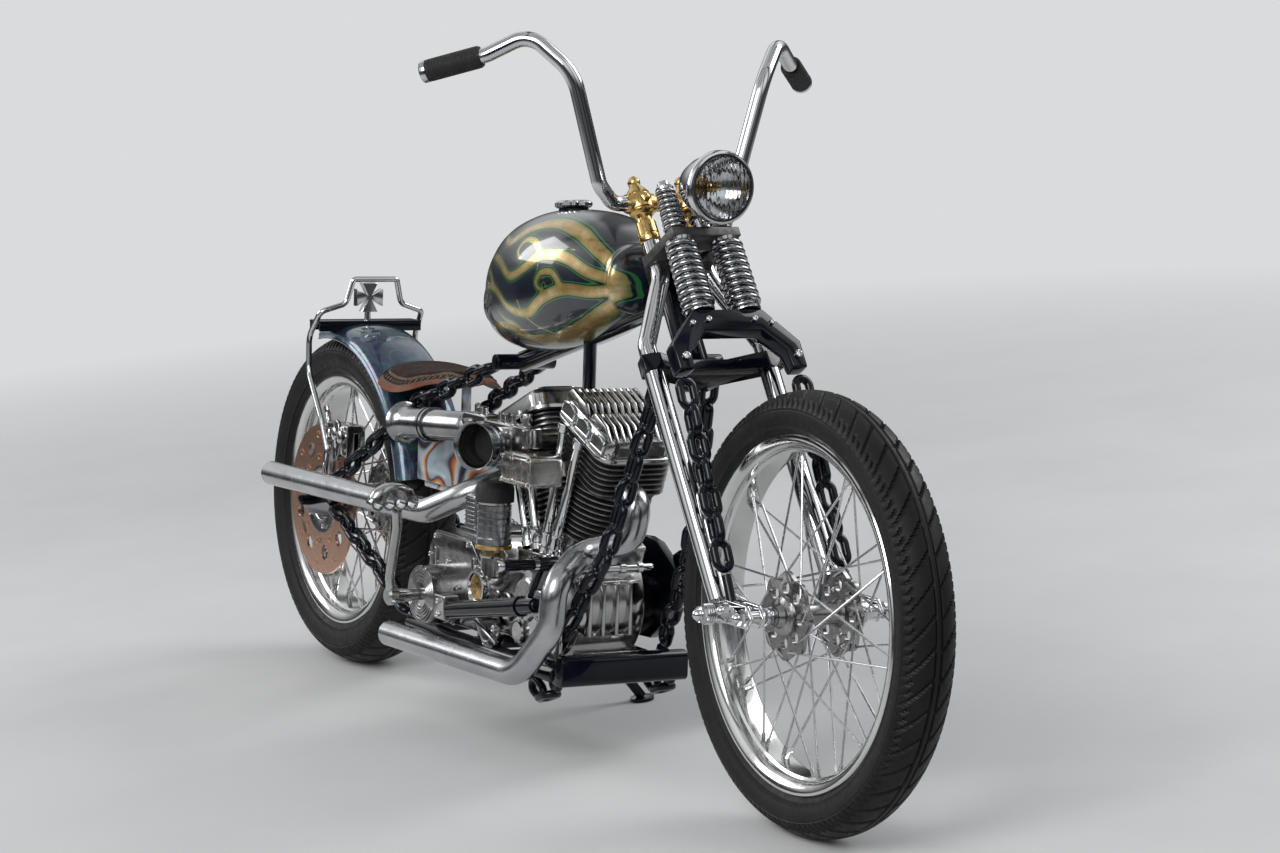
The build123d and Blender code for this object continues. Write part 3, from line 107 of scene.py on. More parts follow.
# %% A helper for trees of nodes
class Nodes:
    """A tree whose nodes are added one call at a time."""

    def __init__(self, tree):
        self.tree = tree

    def feed(self, socket, value):
        """Link a socket to another node's output, or write a plain value into it."""
        if isinstance(value, bpy.types.NodeSocket):
            self.tree.links.new(value, socket)
        elif hasattr(value, "__len__") and len(value) == 3 and socket.type == "RGBA":
            socket.default_value = (*value, 1.0)
        else:
            socket.default_value = value

    def add(self, kind, settings, *inputs, **named):
        """Add one node: settings are its properties, then its inputs by place or by name."""
        node = self.tree.nodes.new(kind)
        for key, value in settings.items():
            setattr(node, key, value)
        pairs = [*zip(node.inputs, inputs), *((node.inputs[k.replace("_", " ")], v) for k, v in named.items())]
        for socket, value in pairs:
            self.feed(socket, value)
        return node

    def calc(self, operation, *values):
        """A sum, product or other small step on numbers."""
        return self.add("ShaderNodeMath", {"operation": operation}, *values).outputs[0]

    def spread(self, value, low, high, start=0.0, end=1.0):
        """Spread the range from start to end over another one."""
        return self.add("ShaderNodeMapRange", {}, value, start, end, low, high).outputs[0]

    def ramp(self, value, *stops):
        """Colours along a value: each stop is (position, colour)."""
        node = self.add("ShaderNodeValToRGB", {}, value)
        elements = node.color_ramp.elements
        while len(elements) < len(stops):
            elements.new(0.5)
        for element, (position, colour) in zip(elements, stops):
            element.position = position
            element.color = (*colour, 1.0)
        return node.outputs["Color"]

    def blend(self, share, first, second, mode="MIX"):
        """Mix two colours by a share."""
        node = self.add("ShaderNodeMix", {"data_type": "RGBA", "blend_type": mode}, Factor=share)
        for socket, value in zip([s for s in node.inputs if s.type == "RGBA"], (first, second)):
            self.feed(socket, value)
        return [s for s in node.outputs if s.type == "RGBA"][0]


print("node helper ready")

# %% [markdown]
# The room is plain: a pale floor, a pale sky that metal and glass reflect, and three large soft lamps.
# The sky is white where a mirror looks at it, with a few dark bars as in a window, and dimmer as a lamp,
# so colours keep the depth they are written with.

# %% Sky and lamps
scene.view_settings.view_transform = "Standard"
scene.world = bpy.data.worlds.new("studio")
scene.world.use_nodes = True
sky = Nodes(scene.world.node_tree)
sky.tree.nodes.clear()
split = sky.add("ShaderNodeSeparateXYZ", {}, sky.add("ShaderNodeTexCoord", {}).outputs["Generated"]).outputs
fade = sky.ramp(sky.spread(split["Z"], 0.0, 1.0, -1.0, 1.0), *(
    (height, (grey * 0.97, grey * 0.99, grey))
    for height, grey in ((0.40, 0.10), (0.50, 0.05), (0.56, 0.22), (0.66, 0.80), (0.80, 1.0), (0.90, 0.55))))
panes = sky.calc("PINGPONG", sky.calc("ARCTAN2", split["Y"], split["X"]), radians(24.0))
window = sky.blend(1.0, fade, sky.spread(panes, 0.18, 1.0, radians(3.0), radians(8.0)), "MULTIPLY")
path = sky.add("ShaderNodeLightPath", {}).outputs
mirror = sky.calc("MAXIMUM", path["Is Glossy Ray"], path["Is Transmission Ray"])
reflected, dim, seen = (sky.add("ShaderNodeBackground", {}, colour, strength).outputs[0] for colour, strength in
                        ((window, 1.0), ((0.93, 0.96, 1.0), 0.40), ((0.70, 0.71, 0.72), 1.0)))
by_mirror = sky.add("ShaderNodeMixShader", {}, mirror, dim, reflected).outputs[0]
by_camera = sky.add("ShaderNodeMixShader", {}, path["Is Camera Ray"], by_mirror, seen).outputs[0]
sky.add("ShaderNodeOutputWorld", {}, by_camera)
for name, place, size, watts in (("window_lamp", (2.6, -3.4, 3.4), 2.4, 118), ("side_lamp", (-3.2, -2.6, 2.6), 2.0, 62),
                                 ("back_lamp", (0.5, 3.6, 3.0), 2.4, 80)):
    light = bpy.data.lights.new(name, "AREA")
    light.size, light.energy = size, watts
    lamp = bpy.data.objects.new(name, light)
    aim = Vector((0, 0, 0.5)) - Vector(place)
    lamp.matrix_world = Matrix.Translation(place) @ aim.to_track_quat("-Z", "Y").to_matrix().to_4x4()
    scene.collection.objects.link(lamp)

# %% [markdown]
# A finish says what the metal or paint is, how rough it is and what breaks it up. All patterns read the
# place on the object, turned back into the upright space by one Mapping node. Most finishes are made alike:
# two cloudy shades, a roughness that wanders between two values, and a fine bump.

# %% A helper for finishes
class Finish(Nodes):
    """A material with its principled shader, whose patterns live in the upright space."""

    def __init__(self, name, **sockets):
        self.material = bpy.data.materials.new(name)
        self.material.use_nodes = True
        super().__init__(self.material.node_tree)
        self.shader = self.tree.nodes["Principled BSDF"]
        for key, value in sockets.items():
            self.set(key.replace("_", " "), value)
        place = self.add("ShaderNodeTexCoord", {}).outputs["Object"]
        self.upright = self.stretch((1, 1, 1), place, Matrix.Rotation(LEAN, 3, "X") @ (SHIFT * 0.001), LEAN)

    def set(self, key, value):
        """Feed one input of the shader."""
        self.feed(self.shader.inputs[key], value)

    def stretch(self, scale, coords=None, move=(0, 0, 0), lean=0.0):
        """The upright space stretched along its axes."""
        return self.add("ShaderNodeMapping", {}, Vector=coords or self.upright, Location=move,
                        Rotation=(lean, 0, 0), Scale=scale).outputs[0]

    def noise(self, scale, detail=4.0, roughness=0.55, coords=None):
        """Cloudy variation, with scale counted per metre."""
        return self.add("ShaderNodeTexNoise", {}, Vector=coords or self.upright, Scale=scale, Detail=detail,
                        Roughness=roughness).outputs["Fac"]

    def cells(self, scale, feature="F1", output="Distance"):
        """Small cells, for flakes and leather grain."""
        return self.add("ShaderNodeTexVoronoi", {"feature": feature}, Vector=self.upright, Scale=scale).outputs[output]

    def stirred(self, scale):
        """The upright space with cloudy eddies in it."""
        eddies = self.add("ShaderNodeTexNoise", {}, Vector=self.upright, Scale=scale).outputs["Color"]
        return self.add("ShaderNodeVectorMath", {"operation": "ADD"}, self.upright, eddies).outputs[0]

    def stored(self, label):
        """A number that the mesh brings along with each of its points."""
        return self.add("ShaderNodeAttribute", {"attribute_name": label}).outputs["Fac"]

    def bump(self, height, strength=0.2, distance=0.001, under=None):
        """Turn a height into a bump, on top of another one if given."""
        node = self.add("ShaderNodeBump", {}, Height=height, Strength=strength, Distance=distance)
        if under is not None:
            self.feed(node.inputs["Normal"], under)
        self.set("Normal", node.outputs[0])
        return node.outputs[0]

    def colour(self, value):
        self.set("Base Color", value)

    def rough(self, value):
        self.set("Roughness", value)


def mottled(name, clouds, dark, light, haze, ripple=None, **sockets):
    """The usual finish. Clouds, haze and ripple start with a scale and a detail."""
    made = Finish(name, **sockets)
    made.colour(made.ramp(made.noise(*clouds), dark, light))
    made.rough(made.spread(made.noise(*haze[:2]), *haze[2:4], *(haze[4:] or (0.3, 0.75))))
    if ripple:
        made.bump(made.noise(*ripple[:2]), *ripple[2:])
    return made


def metal(name, clouds, dark, light, haze, ripple, metallic=1.0, light_at=0.7):
    """A mottled finish on bare metal, from a dark shade to a light one."""
    return mottled(name, clouds, (0.3, dark), (light_at, light), haze, ripple, Metallic=metallic)


print("finish helper ready")

# %% [markdown]
# Metals first. Chrome is almost a mirror, so its only life is a faint haze and the smallest ripple.
# Polished castings are softer: their surface was sand once, and the wheel only took the tops off it.

# %% Chrome, alloy, steel and brass
chrome = metal("bright_chrome", (9,), (0.58, 0.59, 0.61), (0.70, 0.70, 0.71), (60, 6, 0.03, 0.11, 0.35, 0.75),
               (420, 3, 0.02, 0.0004))
satin = metal("satin_pipe", (12, 5), (0.38, 0.39, 0.41), (0.50, 0.51, 0.52), (40, 5, 0.18, 0.30),
              (300, 3, 0.03, 0.0005))
spring_steel = metal("plated_spring", (40, 5), (0.26, 0.26, 0.27), (0.40, 0.40, 0.41), (90, 5, 0.10, 0.22),
                     (600, 3, 0.04, 0.0005))
polished_rim = metal("polished_rim", (14, 6), (0.56, 0.56, 0.56), (0.68, 0.68, 0.67), (80, 6, 0.07, 0.17),
                     (500, 3, 0.03, 0.0004))
hub_steel = metal("hub_steel", (60, 5), (0.23, 0.23, 0.235), (0.38, 0.375, 0.37), (160, 5, 0.16, 0.30),
                  (500, 3, 0.04, 0.0005))
spun_metal = metal("spun_metal", (14, 5), (0.24, 0.245, 0.25), (0.36, 0.365, 0.37), (60, 5, 0.14, 0.26),
                   (400, 3, 0.03, 0.0004))
bright_cast = metal("bright_cast", (20, 5), (0.62, 0.60, 0.57), (0.76, 0.74, 0.70), (80, 5, 0.16, 0.30),
                    (500, 3, 0.05, 0.0005))
brass = metal("polished_brass", (50, 6), (0.48, 0.31, 0.11), (0.72, 0.51, 0.21), (120, 6, 0.10, 0.30),
              (700, 3, 0.05, 0.0005))
# This dark iron is the cylinders' own colour. It is also the painted shade in the rocker-box recesses and the pipe
# bores.
iron = metal("dark_iron_fins", (70, 7), (0.050, 0.050, 0.050), (0.13, 0.13, 0.125), (160, 6, 0.32, 0.6),
             (500, 5, 0.25, 0.001), 0.75, 0.75)
bright_fin = metal("turned_fin_edges", (60, 6), (0.13, 0.13, 0.13), (0.26, 0.26, 0.25), (140, 5, 0.25, 0.42),
                   (400, 4, 0.15, 0.0008), 0.9, 0.75)
polished = metal("polished_casting", (18, 5), (0.40, 0.40, 0.40), (0.52, 0.52, 0.51), (60, 5, 0.13, 0.24), None)
ripple = polished.bump(polished.noise(26, 3), 0.16, 0.003)
polished.bump(polished.noise(700, 3), 0.03, 0.0004, under=ripple)
steel = Finish("turned_steel", Metallic=1.0)
steel.colour(steel.ramp(steel.noise(40, 6), (0.3, (0.50, 0.50, 0.51)), (0.7, (0.66, 0.66, 0.67))))
steel.rough(steel.spread(steel.noise(300, 4, coords=steel.stretch((1, 0.1, 1))), 0.14, 0.3, 0.3, 0.7))
steel.bump(steel.noise(800, 2, coords=steel.stretch((1, 0.05, 1))), 0.05, 0.0004)
print("metals", [m.name for m in bpy.data.materials])

# %% [markdown]
# Paint and plated black. The chain is a deep gloss black that turns blue where it catches the light, with
# small dents from the forge. The disc is copper coloured and brushed in rings round its axle.

# %% Gloss black, copper, rubber and paints
black = mottled("chain_black", (24,), (0.35, (0.002, 0.0025, 0.005)), (0.8, (0.006, 0.007, 0.016)),
                (120, 5, 0.14, 0.28),
                (140, 4, 0.10, 0.0010), Coat_Weight=1.0, Coat_Roughness=0.05, Coat_IOR=1.32, Specular_IOR_Level=0.05)
rubber = mottled("tyre_rubber", (18, 6), (0.3, (0.003, 0.003, 0.0033)), (0.75, (0.009, 0.009, 0.010)),
                 (90, 6, 0.42, 0.66), (700, 4, 0.18, 0.0006), Specular_IOR_Level=0.26)
thread = mottled("dark_lacing", (300,), (0.3, (0.006, 0.005, 0.005)), (0.7, (0.018, 0.014, 0.012)),
                 (500, 4, 0.5, 0.7, 0.0, 1.0), (1500, 4, 0.2, 0.0004), Specular_IOR_Level=0.25)
grip_rubber = mottled("grip_rubber", (60, 5), (0.3, (0.010, 0.010, 0.010)), (0.8, (0.022, 0.022, 0.022)),
                      (200, 4, 0.5, 0.72, 0.3, 0.7), Specular_IOR_Level=0.35)
grip_rubber.bump(grip_rubber.cells(900), 0.3, 0.0006)

copper = Finish("brushed_copper", Metallic=1.0)
split = copper.add("ShaderNodeSeparateXYZ", {}, copper.upright).outputs
over_axle = copper.calc("SUBTRACT", split["Z"], REAR_RADIUS / 1000)
squares = [copper.calc("MULTIPLY", side, side) for side in (split["X"], over_axle)]
turned_lines = copper.calc("MULTIPLY", copper.calc("SQRT", copper.calc("ADD", *squares)), 900.0)
brushed = copper.add("ShaderNodeTexNoise", {"noise_dimensions": "1D"}, W=turned_lines, Scale=1.0,
                     Detail=4.0).outputs["Fac"]
copper.colour(copper.ramp(brushed, (0.3, (0.56, 0.30, 0.20)), (0.7, (0.80, 0.52, 0.38))))
copper.rough(copper.spread(brushed, 0.2, 0.36, 0.3, 0.7))
copper.bump(brushed, 0.06, 0.0004)

flake = Finish("fender_flake_paint", Metallic=0.55, Coat_Weight=1.0, Coat_Roughness=0.03)
teal = flake.ramp(flake.noise(11, 6, 0.6, flake.stirred(7.0)), (0.30, (0.002, 0.003, 0.010)),
                  (0.46, (0.004, 0.014, 0.060)),
                  (0.57, (0.008, 0.055, 0.110)), (0.64, (0.022, 0.11, 0.05)), (0.72, (0.006, 0.022, 0.070)))
sparkle = flake.ramp(flake.cells(1500, output="Color"), (0.55, (0, 0, 0)), (0.95, (0.4, 0.5, 0.5)))
flake.colour(flake.blend(0.22, teal, sparkle, "SCREEN"))
flake.rough(flake.spread(flake.cells(1200), 0.22, 0.42))

swirl = Finish("oil_tank_paint", Metallic=0.1, Coat_Weight=1.0, Coat_Roughness=0.04)
waves = swirl.add("ShaderNodeTexWave", {}, Vector=swirl.stirred(3.0), Scale=3.4, Distortion=2.6).outputs["Fac"]
swirl.colour(swirl.ramp(waves, (0.05, (0.020, 0.010, 0.035)), (0.22, (0.40, 0.50, 0.56)), (0.42, (0.66, 0.64, 0.58)),
                        (0.56, (0.68, 0.36, 0.12)), (0.70, (0.50, 0.14, 0.04)), (0.82, (0.08, 0.03, 0.06)),
                        (0.94, (0.42, 0.50, 0.55))))
swirl.rough(swirl.spread(swirl.noise(80), 0.18, 0.3))
swirl.bump(swirl.noise(300), 0.02, 0.0004)

gold = Finish("tank_flame_paint", Coat_Weight=1.0, Coat_Roughness=0.02)
flame, stripe = gold.stored("lick_gap"), gold.stored("pin_gap")
deep = gold.ramp(gold.noise(9, 6), (0.35, (0.002, 0.003, 0.006)), (0.75, (0.006, 0.012, 0.030)))
leaf = gold.ramp(gold.noise(22, 7, 0.62), (0.32, (0.30, 0.15, 0.045)), (0.50, (0.52, 0.34, 0.13)),
                 (0.68, (0.70, 0.56, 0.32)))
inside = gold.spread(flame, 1.0, 0.0, -0.0004, 0.0004)
outline = gold.calc("MULTIPLY", gold.spread(flame, 0.0, 1.0, 0.0016, 0.0022),
                    gold.spread(flame, 1.0, 0.0, 0.0034, 0.0042))
leaf_edge = gold.blend(gold.spread(flame, 0.0, 1.0, -0.0060, 0.0), leaf, (0.20, 0.24, 0.05))
lines = gold.blend(outline, deep, (0.020, 0.12, 0.035))
lines = gold.blend(gold.spread(stripe, 1.0, 0.0, 0.0, 0.0009), lines, (0.34, 0.36, 0.10))
gold.colour(gold.blend(inside, lines, leaf_edge))
gold.set("Metallic", gold.spread(inside, 0.0, 0.55))
gold.rough(gold.spread(gold.noise(900, 2), 0.18, 0.32))

leather = Finish("brown_leather", Specular_IOR_Level=0.05)
hide, tan, band = (leather.ramp(leather.noise(scale, 7, 0.6), (0.3, dark), (0.75, light)) for scale, dark, light in (
    (26, (0.012, 0.006, 0.004), (0.040, 0.019, 0.011)), (30, (0.15, 0.060, 0.036), (0.25, 0.110, 0.070)),
    (60, (0.110, 0.068, 0.050), (0.200, 0.140, 0.108))))
border = leather.stored("border_gap")
edge_and_band = leather.blend(leather.spread(border, 0.0, 1.0, 0.0070, 0.0085), tan, band)
leather.colour(leather.blend(leather.spread(border, 0.0, 1.0, 0.0225, 0.0240), edge_and_band, hide))
leather.rough(leather.spread(leather.noise(90, 6), 0.34, 0.56, 0.3, 0.75))
crease_line = leather.spread(leather.calc("ABSOLUTE", leather.calc("SUBTRACT", border, 0.0245)), 0.0, 1.0, 0.0, 0.0016)
leather.bump(leather.cells(420, "F2"), 0.5, 0.0012, under=leather.bump(crease_line, 0.8, 0.0015))
print("finishes", len(bpy.data.materials))

# %% [markdown]
# The solids whose shape is already right only need their finish. Each node takes it by name here; the
# pieces that are built further down hide their solid and bring their own.

# %% Give every solid its finish
FINISH_OF = {
    "chrome": chrome, "black_gloss": black, "tyre": rubber, "alloy": polished, "steel": steel, "iron": iron,
    "brass": brass, "copper": copper, "tank_paint": gold, "fender_paint": flake, "oil_paint": swirl,
    "leather": leather, "rubber": grip_rubber,
}
for part in frame["record"]["subparts"]:
    solid = frame["nodes"][part["node"]]
    solid.data.materials.clear()
    solid.data.materials.append(FINISH_OF[part["material_slot"]].material)

# %% [markdown]
# Most pieces of a motorcycle are turned on a lathe, bent from tube, or built up as a skin over rings. So
# three helpers make those kinds of shape as plain lists of points and faces, and a fourth turns a list of
# them into one mesh: it welds doubles, points the faces outwards, and moves it to the parked place.

# %% Turned, bent and skinned shapes
def lathe(profile, centre, axis=LEFT, steps=72, closed=False):
    """A shape turned round an axis; the profile holds (distance along, radius)."""
    along = Vector(axis).normalized()
    side = along.orthogonal().normalized()
    other = along.cross(side)
    points, faces, count = [], [], len(profile)
    for step in range(steps):
        angle = 2 * pi * step / steps
        outward = side * cos(angle) + other * sin(angle)
        points += [Vector(centre) + along * up + outward * max(radius, 0.0) for up, radius in profile]
        this, following = step * count, (step + 1) % steps * count
        for number in range(count if closed else count - 1):
            after = (number + 1) % count
            faces.append((this + number, following + number, following + after, this + after))
    return points, faces


def bent_rod(path, radius, sides=16, closed=False):
    """A round bar along a path; the radius is one number or one for each point."""
    path = [Vector(p) for p in path]
    count = len(path)
    radii = radius if hasattr(radius, "__len__") else [radius] * count
    points, faces, side = [], [], None
    for number, place in enumerate(path):
        before = path[number - 1] if number or closed else place
        after = path[(number + 1) % count] if number < count - 1 or closed else place
        along = (after - before).normalized()
        side = along.orthogonal() if side is None else side - along * side.dot(along)
        side.normalize()
        other = along.cross(side)
        for step in range(sides):
            angle = 2 * pi * step / sides
            points.append(place + (side * cos(angle) + other * sin(angle)) * radii[number])
    for number in range(count if closed else count - 1):
        this, following = number * sides, (number + 1) % count * sides
        for step in range(sides):
            after = (step + 1) % sides
            faces.append((this + step, this + after, following + after, following + step))
    if not closed:
        faces += [tuple(reversed(range(sides))), tuple(range((count - 1) * sides, count * sides))]
    return points, faces


def skin(rings):
    """A closed surface through rings of the same number of points."""
    count = len(rings[0])
    points = [Vector(p) for ring in rings for p in ring]
    faces = [(this + i, this + (i + 1) % count, this + count + (i + 1) % count, this + count + i)
             for this in range(0, len(points) - count, count) for i in range(count)]
    return points, faces + [tuple(reversed(range(count))), tuple(range(len(points) - count, len(points)))]


def slab(middle, outline, levels):
    """An outline of (ahead, up) points skinned across the motorcycle; levels hold (y, size)."""
    return skin([[Vector(middle) + Vector((a * size, y, b * size)) for a, b in outline] for y, size in levels])


def mirrored(half):
    """A profile and its mirror image beyond its last point."""
    return half + [(-a, b) for a, b in half[-2::-1]]


def rounded_box(half_a, half_b, radius, steps=6):
    """A rectangle with round corners, as an outline."""
    a, b = half_a - radius, half_b - radius
    corners = ((a, b, 0), (-a, b, 90), (-a, -b, 180), (a, -b, 270))
    return [(x + radius * cos(radians(start + 90 * i / steps)), y + radius * sin(radians(start + 90 * i / steps)))
            for x, y, start in corners for i in range(steps + 1)]


def piece(name, shapes, finish, body, replaces=(), crease=35.0, bevel=0.0):
    """Weld shapes into one mesh in the parked place, dress it and let it ride on its body."""
    mesh = bpy.data.meshes.new(name)
    points, faces = [], []
    for shape_points, shape_faces in shapes:
        faces += [tuple(len(points) + i for i in face) for face in shape_faces]
        points += shape_points
    mesh.from_pydata([PARKED @ p for p in points], [], faces)
    welded = bmesh.new()
    welded.from_mesh(mesh)
    bmesh.ops.remove_doubles(welded, verts=welded.verts, dist=0.00001)
    bmesh.ops.recalc_face_normals(welded, faces=welded.faces)
    if bevel:
        sharp = [e for e in welded.edges if len(e.link_faces) == 2 and e.calc_face_angle(0) > radians(crease)]
        bmesh.ops.bevel(welded, geom=sharp, offset=bevel / 1000, segments=2, profile=0.5, affect="EDGES",
                        clamp_overlap=True)
    welded.to_mesh(mesh)
    welded.free()
    mesh.materials.append(finish.material)
    return dress(bpy.data.objects.new(name, mesh), body, replaces, crease)


def dress(made, body, replaces=(), crease=35.0):
    """Shade a finished mesh smooth up to a crease and hand it to the frame."""
    scene.collection.objects.link(made)
    made.data.polygons.foreach_set("use_smooth", [True] * len(made.data.polygons))
    made.data.set_sharp_from_angle(angle=radians(crease))
    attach(made, body)
    if replaces:
        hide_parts(*replaces)
    made.data.calc_loop_triangles()
    print(f"{made.name}: {len(made.data.loop_triangles)} triangles on {body}")
    return made


# %% [markdown]
# What repeats is grown by Geometry Nodes: links, spokes, springs, fins, bolts. The next helper builds such
# a tree with named inputs and always ends it the same way, with real geometry and its material. Another
# one runs a tree on a few points and keeps only the plain mesh it makes.

# %% A helper for geometry trees
class Pattern(Nodes):
    """A geometry tree whose sizes are named inputs."""

    def __init__(self, name, **sizes):
        super().__init__(bpy.data.node_groups.new(name, "GeometryNodeTree"))
        face = self.tree.interface
        face.new_socket("Geometry", in_out="INPUT", socket_type="NodeSocketGeometry")
        for label, value in sizes.items():
            face.new_socket(label, in_out="INPUT", socket_type="NodeSocketFloat").default_value = value
        face.new_socket("Finish", in_out="INPUT", socket_type="NodeSocketMaterial")
        face.new_socket("Geometry", in_out="OUTPUT", socket_type="NodeSocketGeometry")
        self.given = self.tree.nodes.new("NodeGroupInput").outputs

    def stored(self, label, kind="FLOAT"):
        """A value that every point brings along."""
        return self.add("GeometryNodeInputNamedAttribute", {"data_type": kind}, label).outputs["Attribute"]

    def ring(self, radius, sides):
        """A round cross-section."""
        return self.add("GeometryNodeCurvePrimitiveCircle", {}, Radius=radius, Resolution=sides).outputs["Curve"]

    def drum(self, radius, depth, sides):
        """A short cylinder."""
        return self.add("GeometryNodeMeshCylinder", {}, Vertices=sides, Radius=radius, Depth=depth).outputs["Mesh"]

    def smooth(self, mesh):
        return self.add("GeometryNodeSetShadeSmooth", {}, mesh).outputs[0]

    def sweep(self, line, section):
        """A tube along a line, shaded smooth."""
        return self.smooth(self.add("GeometryNodeCurveToMesh", {}, line, section, Fill_Caps=True).outputs[0])

    def moved(self, mesh, by=(0, 0, 0), size=(1, 1, 1)):
        return self.add("GeometryNodeTransform", {}, mesh, Translation=by, Scale=size).outputs[0]

    def join(self, *meshes):
        joined = self.add("GeometryNodeJoinGeometry", {})
        for mesh in meshes:
            self.feed(joined.inputs[0], mesh)
        return joined.outputs[0]

    def place(self, instance, size=(1, 1, 1)):
        """Put one copy on every point, turned as the point says."""
        return self.add("GeometryNodeInstanceOnPoints", {}, self.given["Geometry"], Instance=instance,
                        Rotation=self.stored("turn", "FLOAT_VECTOR"), Scale=size).outputs[0]

    def close(self, geometry):
        real = self.add("GeometryNodeRealizeInstances", {}, geometry).outputs[0]
        coated = self.add("GeometryNodeSetMaterial", {}, real, Material=self.given["Finish"]).outputs[0]
        self.add("NodeGroupOutput", {}, coated)


def turned(ahead, normal):
    """The turn that lays a copy's x along one direction and its z along another."""
    x = Vector(ahead).normalized()
    z = (Vector(normal) - x * Vector(normal).dot(x)).normalized()
    return Matrix((x, z.cross(x), z)).transposed().to_euler()


def seeds(places, edges=(), **values):
    """A mesh of bare points, or of lines, whose points carry values such as their turn."""
    mesh = bpy.data.meshes.new("seeds")
    mesh.from_pydata([Vector(p) for p in places], list(edges), [])
    for label, numbers in values.items():
        if hasattr(numbers[0], "__len__"):
            layer = mesh.attributes.new(label, "FLOAT_VECTOR", "POINT")
            layer.data.foreach_set("vector", [x for v in numbers for x in v])
        else:
            mesh.attributes.new(label, "FLOAT", "POINT").data.foreach_set("value", list(numbers))
    return mesh


def grow(name, pattern, start, finish, body, replaces=(), **sizes):
    """Run a tree on its seeds and keep the plain mesh, in the parked place."""
    holder = bpy.data.objects.new(name + "_seed", start)
    scene.collection.objects.link(holder)
    grower = holder.modifiers.new("pattern", "NODES")
    grower.node_group = pattern.tree
    sizes["Finish"] = finish.material
    for entry in pattern.tree.interface.items_tree:
        if entry.in_out == "INPUT" and entry.name in sizes:
            grower[entry.identifier] = sizes[entry.name]
    shown = holder.evaluated_get(bpy.context.evaluated_depsgraph_get())
    mesh = bpy.data.meshes.new_from_object(shown)
    mesh.transform(PARKED)
    bpy.data.objects.remove(holder)
    return dress(bpy.data.objects.new(name, mesh), body, replaces, 40.0)


print("tree helper ready")

# %% [markdown]
# The tyres differ in size: the front one is narrow, the rear one broad. Both carry long slits that run from
# the crown to the shoulder and short ones on the shoulder. Both are one profile turned round the axle, fine
# enough round the wheel that the slits can be pressed into the tread as real depth.

# %% Tyres with their tread
TREAD_DEPTH, STEPS_PER_SLIT = 3.8, 24
SIDEWALL = [(0.74, 0.0), (0.80, 0.05), (0.86, 0.12), (0.90, 0.135), (0.91, 0.16), (0.905, 0.185), (0.935, 0.25),
            (0.985, 0.37), (1.0, 0.46), (0.995, 0.53), (0.975, 0.55), (0.975, 0.575), (0.99, 0.59), (0.94, 0.68)]
TREAD = [(0.94 - 0.94 * i / 17, 0.68 + 0.32 * sin(pi / 2 * (i / 17) ** 0.8)) for i in range(1, 18)]


def tyre(name, axle, half_width, bead, crown, slits, body):
    """A round carcass whose tread is pressed in where the slit pattern says."""
    profile = mirrored([(-half_width * a, bead + (crown - bead) * b) for a, b in SIDEWALL + TREAD])
    points, faces = lathe(profile, axle, steps=slits * STEPS_PER_SLIT)
    for spot, place in enumerate(points):
        step, number = divmod(spot, len(profile))
        across, radius = profile[number]
        share = across / half_width
        if radius < bead + (crown - bead) * 0.66:
            continue
        phase = (step / STEPS_PER_SLIT + 1.25 * share + (0.5 if share > 0 else 0.0)) % 1.0
        long_slit = abs(phase - 0.5) < 0.07 and abs(share) > 0.16
        short_slit = abs((3 * phase) % 1.0 - 0.5) < 0.16 and abs(share) > 0.76
        if long_slit or short_slit or 0.075 < abs(share) < 0.13:
            inward = Vector(axle) - place
            inward.y = 0
            points[spot] = place + inward.normalized() * TREAD_DEPTH
    piece(name, [(points, faces)], rubber, body, [name.replace("_carcass", "")], crease=28)


tyre("front_tyre_carcass", FRONT_WHEEL, 46, 279, 347, 46, "front_wheel")
tyre("rear_tyre_carcass", REAR_WHEEL, 62, 245, 322, 42, "rear_wheel")

# %% [markdown]
# A spoked rim is rolled from one strip: two polished flanges with a rolled edge, and a drop centre where
# the nipples sit. The profile is drawn once and scaled to each wheel.

# %% Rims
def rim(name, axle, w, r, body):
    """A rolled rim with a drop centre, of half width w and outer radius r."""
    half = [(-w - 1.5, r + 1.5), (-w - 3.5, r - 0.5), (-w - 3.7, r - 4), (-w - 2.9, r - 8), (-w - 1.2, r - 12.5),
            (-w + 1.4, r - 17), (-w + 4.6, r - 20.5), (-w + 6, r - 21.2), (-w * 0.70, r - 21.7), (-w * 0.56, r - 22.2),
            (-w * 0.48, r - 26.5), (-w * 0.30, r - 27), (0, r - 27)]
    ring = mirrored(half) + [(w - 1, r + 1.5), (-w + 1, r + 1.5)]
    piece(name, [lathe(ring, axle, steps=128, closed=True)], polished_rim, body, [name.replace("_strip", "")],
          crease=40)


rim("front_rim_strip", FRONT_WHEEL, 34, 278, "front_wheel")
rim("rear_rim_strip", REAR_WHEEL, 45, 244, "rear_wheel")

# %% [markdown]
# Spokes leave both faces of each hub flange, bend, and cross on their way to the rim, where a nipple ends
# each one. A small tree sweeps a thin section along every line it is given, thicker where it is told.

# %% Hubs and laced spokes
spoke_tree = Pattern("spokes_on_lines", Wire=1.9)
lines = spoke_tree.add("GeometryNodeMeshToCurve", {}, spoke_tree.given["Geometry"]).outputs[0]
girth = spoke_tree.stored("girth")
weighted = spoke_tree.add("GeometryNodeSetCurveRadius", {}, lines, Radius=girth).outputs[0]
swept = spoke_tree.add("GeometryNodeCurveToMesh", {}, weighted, spoke_tree.ring(spoke_tree.given["Wire"], 8),
                       Fill_Caps=True)
if "Scale" in swept.inputs:
    spoke_tree.feed(swept.inputs["Scale"], girth)
spoke_tree.close(swept.outputs[0])
SPOKES, CROSSING = 40, radians(62.0)


